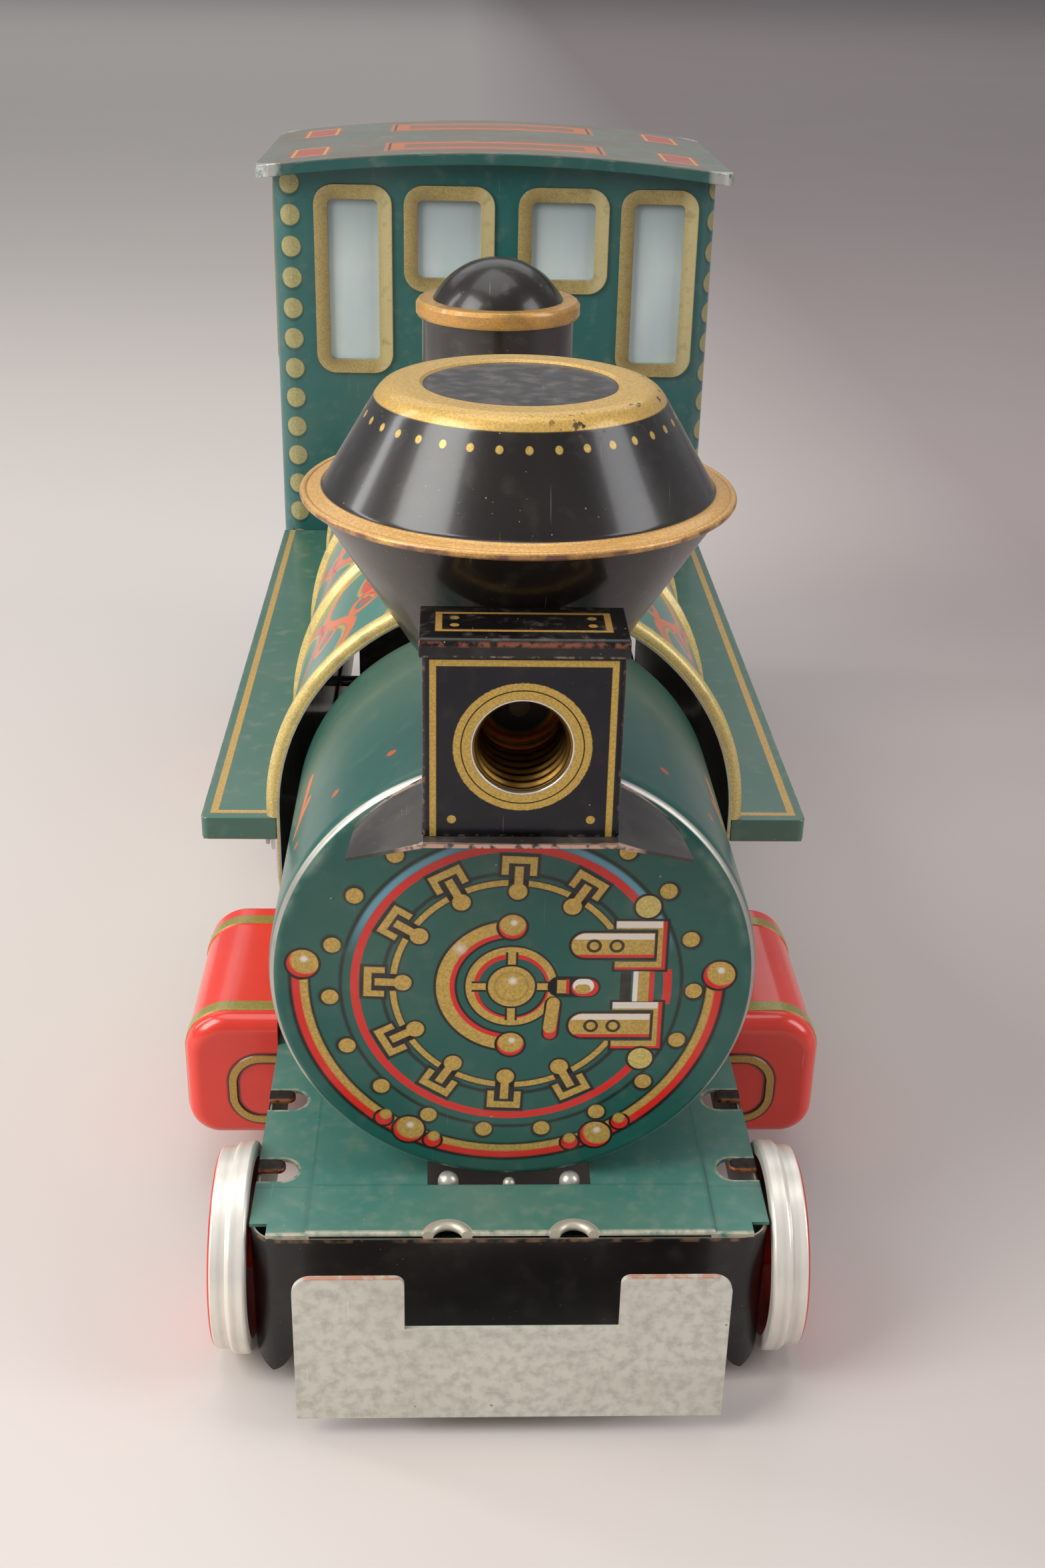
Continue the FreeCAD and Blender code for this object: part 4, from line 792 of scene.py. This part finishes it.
def tinplate(name, ground, rough=0.42, mottle=0.7, scale=3.0):
    """Dull bare tinplate: crystalline mottling, stains and fine scratches."""
    f = Finish(name, ground, metal=0.85, rough=rough)
    f.paint(rise(f.noise(scale, 5.0), 0.42, 0.66) * mottle, shade(ground, 0.62), rough=rough + 0.14)
    f.mottle(shade(ground, 0.8), scale * 5, (0.48, 0.7), 0.45, 3.0)
    f.paint(f.scratches((20, 10, 40), 0.4) * 0.5, shade(ground, 1.3), rough=0.3)
    f.paint(f.specks(2.6, 0.2, 0.2) * 0.45, linear("5b5248"), metal=0.2, rough=0.7)
    f.relief(f.noise(12, 2.0) * 0.08 + f.noise(0.8, 3.0) * 0.008)
    return f.done()


def bumper_finish():
    """The bumper plate's mottled tin, with a thin worn orange-pink top edge."""
    f = Finish("bumper_tin", linear("d6d3c7"), metal=0.3, rough=0.42, origin=(0, plate_low.y, plate_low.z))
    f.mottle(linear("a9a69a"), 2.0, (0.42, 0.64), 0.6, 6.0, rough=0.52)
    f.mottle(linear("dcd8cc"), 0.8, (0.5, 0.7), 0.5, rough=0.4)
    f.mottle(linear("b0ab9c"), 17, (0.5, 0.72), 0.3, 3.0, rough=0.55)
    height = plate_high.z - plate_low.z
    edge = within(abs(f.z - height) - 0.22, 0.2)
    f.mottle(linear("c9876a"), 1.5, (0.3, 0.5), 0.8, 3.0, where=edge, rough=0.45)
    f.paint(f.scratches((0, 0, 30), 0.4, 5.0) * 0.6, linear("efece2"), rough=0.3)
    f.paint(f.specks(3.0, 0.24, 0.25) * 0.6, linear("4d463c"), metal=0.2, rough=0.7)
    f.relief(f.noise(14, 2.0) * 0.12 + f.noise(0.9, 3.0) * 0.012)
    return f.done()


def cylinder_print():
    """Tomato-red moulded steam cylinder with gold bands and a gold ring on its front."""
    low = corners("steam_cylinder_right")[0]
    f = Finish("cylinder_red", linear("ee3b2a"), rough=0.24, origin=(0, face_y, 0))
    x = abs(f.x)
    f.mottle(linear("cf2d22"), 12, (0.45, 0.75), 0.25, 2.0, rough=0.3)
    for place in STEAM_BANDS:
        gild(f, within(abs(f.y - place) - 1.5, 0.15), linear("a89a4a"))
    face = within(f.y - low.y + face_y - 1.2, 0.3)
    ring = rounded_bar((x, f.z), (33.0, 50.8), (13.4, 28.4), 6.0) + 0.75
    # painted shade: a dark maroon band round the gold ring, as in the recess it lies in
    f.ink(face, linear("5a160f"), abs(ring) - 1.2, 0.4)
    f.gold(face, abs(ring) - 0.7, 0.2, colour=linear("c09a48"))
    f.paint(f.specks(2.4, 0.2, 0.25) * 0.5, linear("6b1710"), rough=0.6)
    f.paint(f.scratches((20, 0, 40), 0.35) * 0.5, linear("f6b3a0"), rough=0.45)
    f.relief(f.noise(15, 2.0) * 0.12 + f.noise(0.9, 2.0) * 0.006)
    return f.done(coat=0.5, coat_rough=0.1, subsurface_weight=0.05)


def wheel_print(name, node, rim, ground, metal):
    """Satin tread with two soft bands, a thin red outer edge and a red dished face."""
    low, high = corners(node)
    f = Finish(name, ground, metal=metal, rough=0.3, origin=(0, (low.y + high.y) / 2, (low.z + high.z) / 2))
    outer = max(abs(low.x), abs(high.x))
    x, r = abs(f.x), hypot(f.y, f.z)
    dim = shade(ground, 0.72)
    f.paint(rise(f.noise(5, 4.0, stretch=(3, 1, 1)), 0.4, 0.7) * 0.35, dim, rough=0.4)
    for depth in (1.9, 4.2):
        f.paint(within(abs(x - outer + depth) - 0.35, 0.5) * within(rim - r, 0.3) * 0.45, dim, rough=0.36)
    face = most(within(outer - 0.35 - x, 0.15), within(r - rim, 0.2))
    f.paint(face, linear("d02a1e"), metal=0.0, rough=0.28)
    f.mottle(linear("96201a"), 6, (0.5, 0.7), 0.3, 3.0, where=face)
    f.paint(f.specks(2.0, 0.16, 0.2) * 0.4, linear("5a5046"), metal=0.0, rough=0.7)
    f.paint(f.scratches((0, 70, 20), 0.4) * 0.5, linear("f4f1ea"), rough=0.25)
    f.relief(f.noise(7, 2.0) * 0.05 + f.noise(0.7, 2.0, stretch=(6, 1, 1)) * 0.01)
    return f.done()


def plain_metal(name, ground, rough=0.3, brushed=(1, 1, 1)):
    """Turned or plated metal with fine tool marks."""
    f = Finish(name, ground, metal=1.0, rough=rough)
    marks = rise(f.noise(2.5, 4.0, stretch=brushed), 0.45, 0.7)
    f.paint(marks * 0.35, shade(ground, 0.7), rough=rough + 0.12)
    f.paint(f.specks(2.2, 0.15, 0.15) * 0.5, linear("4a4038"), metal=0.2, rough=0.7)
    f.relief(f.noise(0.5, 2.0, stretch=brushed) * 0.01)
    return f.done()


def moulding(name, ground, rough=0.45, grain=0.5):
    """Moulded plastic or rubber with a fine grain."""
    f = Finish(name, ground, rough=rough)
    f.mottle(shade(ground, 0.75), 4, (0.45, 0.7), 0.3, 3.0, rough=rough + 0.1)
    f.paint(f.specks(2.0, 0.14, 0.25) * 0.3, DUST, rough=0.8)
    f.relief(f.noise(grain, 3.0) * 0.012)
    return f.done()


def glazing_finish():
    """Milky sheet behind the cab windows, smeared and scratched."""
    f = Finish("cab_celluloid", linear("c3cfce"), rough=0.28)
    f.paint(rise(f.noise(9, 4.0, stretch=(1, 1, 0.4)), 0.4, 0.7) * 0.5, linear("a9bcc0"), rough=0.4)
    # painted shadow: the panes darken toward the top, as the recessed frame shades them
    f.paint(rise(f.z, 138, 160) * 0.75, linear("77888a"))
    f.paint(f.scratches((10, 20, 70), 0.5, 8.0) * 0.6, linear("e8eeee"), rough=0.5)
    f.relief(f.noise(12, 2.0) * 0.2)
    return f.done(coat=0.3, coat_rough=0.15)


def battery_print():
    """Cell jacket: plain blue-grey with a copper-coloured end band."""
    low, high = corners("battery_right")
    f = Finish("battery_jacket", linear("2f3f63"), metal=0.4, rough=0.32, origin=(0, low.y, 0))
    length = high.y - low.y
    f.paint(within(length - 18 - f.y, 0.3), linear("a8632f"), metal=0.7, rough=0.3)
    ends = most(within(f.y - 1.0, 0.2), within(length - 3.3 - f.y, 0.2))
    f.paint(ends, linear("b8b6b0"), metal=1.0, rough=0.3)
    f.mottle(linear("6d675e"), 6, (0.5, 0.75), 0.25, 3.0, rough=0.5)
    f.relief(f.noise(6, 2.0) * 0.02)
    return f.done()


def tube_brass():
    """Dark tarnished brass of the lamp's tube, with painted shade deep in its bore and a painted orange
    glow ring.
    """
    f = Finish("tube_brass", linear("8a6a34"), metal=1.0, rough=0.34, origin=(0, lamp_low.y, 115.0))
    f.mottle(linear("4a3418"), 3, (0.4, 0.68), 0.7, rough=0.5)
    # painted shade deep at the back of the bore, ringed by a painted orange glow
    back = rise(f.y, 11.0, 15.0)
    f.paint(back * within(disc((f.x, f.z), (0, 0), 4.6), 0.5), linear("1c1512"), metal=0.3, rough=0.5)
    glow = within(hoop((f.x, f.z), (0, 0), 5.6, 0.6), 0.4) * rise(f.y, 13.0, 14.5)
    f.paint(glow, linear("e0842e"), rough=0.25)
    f.relief(f.noise(1.5, 3.0) * 0.02)
    return f.done()


# ---------------------------------------------------------------- pieces

def adopt(piece, node, material):
    """The piece stands for a CAD node: it rides on that node's body and takes its slot."""
    piece.data.materials.clear()
    piece.data.materials.append(material)
    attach(piece, body_of[node])
    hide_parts(node)
    return piece


def new_object(name, mesh):
    piece = bpy.data.objects.new(name, mesh)
    bpy.context.scene.collection.objects.link(piece)
    return piece


def smooth(piece, angle=32.0):
    """Smooth shading that breaks at sharp edges, with flat faces kept flat."""
    mesh = piece.data
    mesh.shade_smooth()
    mesh.set_sharp_from_angle(angle=math.radians(angle))
    weighted = piece.modifiers.new("weighted", "WEIGHTED_NORMAL")
    weighted.keep_sharp = True


def refined(node, material, bevel=0.15, segments=2):
    """A CAD node's shape with its sheet edges rounded, as pressed tin has them."""
    lift_from, lift = LIFTED.get(node, (0.0, 0.0))
    source = frame["nodes"][node]
    mesh = bpy.data.meshes.new(node + "_finished")
    work = bmesh.new()
    work.from_mesh(source.data)
    bmesh.ops.remove_doubles(work, verts=work.verts, dist=0.002 * MM)
    bmesh.ops.dissolve_limit(work, angle_limit=math.radians(0.6), verts=work.verts, edges=work.edges)
    for vertex in work.verts:
        if vertex.co.z > lift_from * MM:
            vertex.co.z += lift * MM
    work.to_mesh(mesh)
    work.free()
    piece = new_object(node + "_finished", mesh)
    if bevel:
        rounding = piece.modifiers.new("rounding", "BEVEL")
        rounding.width = bevel * MM
        rounding.segments = segments
        rounding.limit_method = "ANGLE"
        rounding.angle_limit = math.radians(38)
        rounding.use_clamp_overlap = True
    smooth(piece)
    return adopt(piece, node, material)


def dressed(node, material):
    """A CAD node inside the engine keeps its mesh and takes a better material."""
    for place in frame["nodes"][node].material_slots:
        place.material = material


def rounded_profile(points, steps=5):
    """A closed (radius, along) outline whose points may carry a third number, the fillet's size."""
    result = []
    count = len(points)
    for k, point in enumerate(points):
        here = Vector(point[:2])
        fillet = point[2] if len(point) > 2 else 0.0
        if not fillet:
            result.append(here)
            continue
        before, after = Vector(points[k - 1][:2]), Vector(points[(k + 1) % count][:2])
        back, ahead = before - here, after - here
        start = here + back.normalized() * min(fillet, back.length * 0.49)
        end = here + ahead.normalized() * min(fillet, ahead.length * 0.49)
        for n in range(steps + 1):
            t = n / steps
            result.append(start * (1 - t) ** 2 + here * 2 * t * (1 - t) + end * t ** 2)
    return result


def lathe(name, points, axis, centre, segments=160, steps=5):
    """Turns a closed outline about an axis through a centre (millimetres)."""
    profile = rounded_profile(points, steps)
    work = bmesh.new()
    rings = []
    for radius, along in profile:
        ring = []
        for n in range(1 if radius < 1e-6 else segments):
            angle = 2 * math.pi * n / segments
            a, b = radius * math.cos(angle), radius * math.sin(angle)
            spot = {"x": (along, a, b), "y": (a, along, -b), "z": (a, b, along)}[axis]
            ring.append(work.verts.new((Vector(spot) + Vector(centre)) * MM))
        rings.append(ring)
    for k, ring in enumerate(rings):
        after = rings[(k + 1) % len(rings)]
        if len(ring) == 1 and len(after) == 1:
            continue
        for n in range(segments):
            m = (n + 1) % segments
            quad = [ring[n % len(ring)], ring[m % len(ring)], after[m % len(after)], after[n % len(after)]]
            unique = list(dict.fromkeys(quad))
            if len(unique) > 2:
                work.faces.new(unique)
    bmesh.ops.recalc_face_normals(work, faces=work.faces)
    mesh = bpy.data.meshes.new(name)
    work.to_mesh(mesh)
    work.free()
    piece = new_object(name, mesh)
    smooth(piece, 40)
    return piece


def make_smokebox():
    """Deep-drawn cup with a rounded rim and a flat face."""
    rim, rear = 3.5, smokebox_rear - face_y
    outer = [(0, 0), (smokebox_r - rim - 0.4, 0), (smokebox_r, 0, rim), (smokebox_r, rear, 0.2)]
    inner = [(smokebox_r - tin, rear, 0.2), (smokebox_r - tin, tin, rim - tin), (0, tin)]
    piece = lathe("smokebox_cup", outer + inner, "y", (0, face_y, boiler_z), segments=224, steps=14)
    adopt(piece, "smokebox_shell", smokebox_print())


def make_stack():
    """Two cones and the rolled brim that joins them."""
    low, high = corners("stack_lower_cone")
    brim_r = stack_high.x
    lower = [(10.0, low.z), (10.0, 108.5, 3.0), (16.0, 116.5, 2.0), (28.0, 135.5, 2.0),
             (brim_r - 1.3, high.z + 0.5), (brim_r - 2.0, high.z + 0.5),
             (27.3, 135.9), (15.4, 116.9), (9.4, 108.9), (9.4, low.z)]
    cone = lathe("stack_lower", lower, "z", (0, stack_y, 0))
    adopt(cone, "stack_lower_cone", worn_black("stack_lower_black"))
    brim = stack_high.z - 14.6
    crown = stack_high.z + STACK_RISE
    upper = [(brim_r - 0.9, brim), (brim_r - 1.2, brim + 0.3), (29.3, brim + 0.7, 0.8),
             (21.3, crown - 1.8, 0.7), (20.2, crown - 0.5, 0.8), (18.6, crown, 0.8), (14.7, crown, 0.2),
             (14.3, crown - 0.4, 0.2), (0, crown - 0.4), (0, crown - 1.0),
             (14.5, crown - 1.0), (18.4, crown - 0.6), (19.8, crown - 1.1), (20.8, crown - 2.2),
             (28.9, brim + 0.1), (brim_r - 1.3, brim - 0.3)]
    bead_r = 0.6
    bead = [(brim_r - bead_r + bead_r * math.cos(a), brim - 0.2 + bead_r * math.sin(a))
            for a in (math.radians(15 * k) for k in range(24))]
    material = stack_upper_print()
    cone = lathe("stack_upper", upper, "z", (0, stack_y, 0), segments=192)
    adopt(cone, "stack_upper_cone", material)
    roll = lathe("stack_brim_roll", bead, "z", (0, stack_y, 0), segments=192)
    roll.data.materials.append(material)
    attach(roll, body_of["stack_upper_cone"])


def finish_nodes():
    """Every remaining CAD node: (material, width of the rounded edges or None, nodes)."""
    black = worn_black("black_enamel")
    raw_tin = tinplate("raw_tin", linear("aaa69b"))
    dark_tin = tinplate("dark_tin", linear("6f695f"), rough=0.5)
    steel = plain_metal("bright_steel", linear("b9b8b4"))
    shiny_rod = plain_metal("plated_rod", linear("cfcbc4"), rough=0.2, brushed=(1, 0.2, 1))
    brass = plain_metal("brass_sheet", linear("b08a45"))
    black_plastic = moulding("black_plastic", linear("151515"))
    nylon = moulding("cream_nylon", linear("d8cfb8"), rough=0.4)
    rubber = moulding("tyre_rubber", linear("1b1a19"), rough=0.7, grain=0.25)
    leading = wheel_print("leading_wheel", "leading_wheel_right", 14.7, linear("f1eadf"), 0.35)
    driving = wheel_print("driving_wheel", "rear_drive_wheel_right", 22.6, linear("c9c4bc"), 0.6)
    enamel_inside = worn_black("green_floor", ground=linear("2b5a52"))
    groups = [
        (pan_finish(), 0.2, "chassis_pan"),
        (deck_print(), 0.25, "front_deck"),
        (tab_finish(), 0.1, "body_tabs"),
        (bumper_finish(), 0.22, "bumper_plate"),
        # black enamel on the front base plate is painted shade inside the chassis pan
        (black, 0.12, "base_plate_front"),
        (raw_tin, 0.12, "base_plate_rear"),
        (boiler_print(), 0.12, "boiler_shell"),
        (dome_print(), 0.15, "dome_body"),
        (worn_black("dome_black", dust=0.2), 0, "dome_cap"),
        (lamp_print(), 0.2, "headlamp_box"),
        (lid_print(), 0.2, "headlamp_cap"),
        (bracket_finish(), 0.15, "headlamp_bracket"),
        (tube_brass(), 0.05, "lamp_socket"),
        (cab_print(), 0.2, "cab_shell"),
        (glazing_finish(), None, "cab_glazing"),
        (roof_print(), 0.2, "cab_roof"),
        (enamel_inside, 0.1, "cab_floor"),
        (enamel_inside, 0.15, "rear_beam"),
        (raw_tin, 0.1, "battery_box battery_door drive_turntable"),
        (brass, None, "battery_contacts motor_pinion"),
        (steel, None, "door_hinge_pin swivel_rivet reduction_stub motor_can motor_shaft drive_axle"),
        (steel, 0.15, "switch_lever front_crank_pins rear_crank_pins"),
        (steel, 0.1, "leading_axle front_drive_axle rear_drive_axle"),
        (raw_tin, None, "swivel_bridge"),
        (nylon, None, "reduction_gear drive_gear"),
        (black_plastic, None, "motor_end_cap"),
        (black_plastic, 0.1, "drive_wheels"),
        (rubber, 0.08, "drive_tyres"),
        (board_print(), 0.25, "running_board_left running_board_right"),
        (cylinder_print(), 0.2, "steam_cylinder_left steam_cylinder_right"),
        (battery_print(), None, "battery_left battery_right"),
        (leading, 0.15, "leading_wheel_left leading_wheel_right"),
        (driving, 0.15, "front_drive_wheel_left rear_drive_wheel_left "
                        "front_drive_wheel_right rear_drive_wheel_right"),
        (shiny_rod, 0.15, "side_rod_left side_rod_right"),
        (dark_tin, None, "gearbox_plate_left gearbox_plate_right"),
    ]
    for material, bevel, nodes in groups:
        for node in nodes.split():
            if bevel is None:
                dressed(node, material)
            else:
                refined(node, material, bevel)


# ---------------------------------------------------------------- stage, light and camera

def make_stage():
    """Pale floor that the toy stands on, with painted shade making it dimmer toward the back and the right,
    away from the window.
    """
    mesh = bpy.data.meshes.new("floor")
    half = 15.0
    rim = [(-half, -half, 0), (half, -half, 0), (half, half, 0), (-half, half, 0)]
    mesh.from_pydata(rim, [], [(0, 1, 2, 3)])
    floor = new_object("floor", mesh)
    f = Finish("floor_paper", linear("d2c9c3"), rough=0.55)
    # painted shade: darker toward the back and toward the right
    f.paint(rise(f.y, 0, 900) * 0.35, linear("9d9790"))
    f.paint(rise(f.x, 10, 220) * 0.75, linear("8f7e7e"))
    f.mottle(linear("b5adab"), 160, (0.35, 0.7), 0.08, 3.0)
    f.relief(f.noise(1.5, 3.0) * 0.01)
    floor.data.materials.append(f.done())


def area_light(name, place, target, size, power, colour=(1, 1, 1)):
    light = bpy.data.lights.new(name, "AREA")
    light.shape = "RECTANGLE"
    light.size, light.size_y = size
    light.energy = power
    light.color = colour
    lamp = bpy.data.objects.new(name, light)
    bpy.context.scene.collection.objects.link(lamp)
    lamp.location = place
    lamp.rotation_euler = (Vector(target) - Vector(place)).to_track_quat("-Z", "Y").to_euler()


def make_light():
    world = bpy.data.worlds.new("studio")
    bpy.context.scene.world = world
    world.use_nodes = True
    world.node_tree.nodes["Background"].inputs[0].default_value = (0.78, 0.80, 0.85, 1)
    world.node_tree.nodes["Background"].inputs[1].default_value = 0.35
    area_light("window_left", (-1.0, -0.55, 0.9), (0, -0.05, 0.08), (0.7, 1.0), 17, (1.0, 0.99, 0.96))
    area_light("window_right", (1.05, -0.35, 0.7), (0, 0, 0.08), (0.5, 0.9), 6, (0.98, 0.97, 1.0))
    area_light("ceiling", (-0.1, 0.1, 1.3), (0, 0, 0.1), (0.9, 0.9), 5)
    area_light("side_strip", (-0.85, 0.2, 0.5), (0, -0.1, 0.12), (0.12, 0.7), 1.9)
    area_light("far_floor", (-0.6, 3.6, 2.6), (-0.6, 3.6, 0), (5.0, 3.0), 40)


def make_camera():
    """The photograph's viewpoint: above the front, looking down along the engine."""
    lens = bpy.data.cameras.new("view")
    lens.lens = 40.3
    lens.sensor_width = 36.0
    camera = bpy.data.objects.new("view", lens)
    bpy.context.scene.collection.objects.link(camera)
    pitch, yaw, roll = (math.radians(a) for a in (25.80, 2.43, 1.38))
    turn = (Matrix.Rotation(-yaw, 4, "Z") @ Matrix.Rotation(math.pi / 2 - pitch, 4, "X")
            @ Matrix.Rotation(roll, 4, "Z"))
    eye = Vector((-9.16, face_y - 231.4, 215.0)) * MM
    camera.matrix_world = Matrix.Translation(eye) @ turn
    bpy.context.scene.camera = camera
    bpy.context.scene.view_settings.view_transform = "Standard"


make_camera()
make_light()
make_stage()
make_smokebox()
make_stack()
finish_nodes()
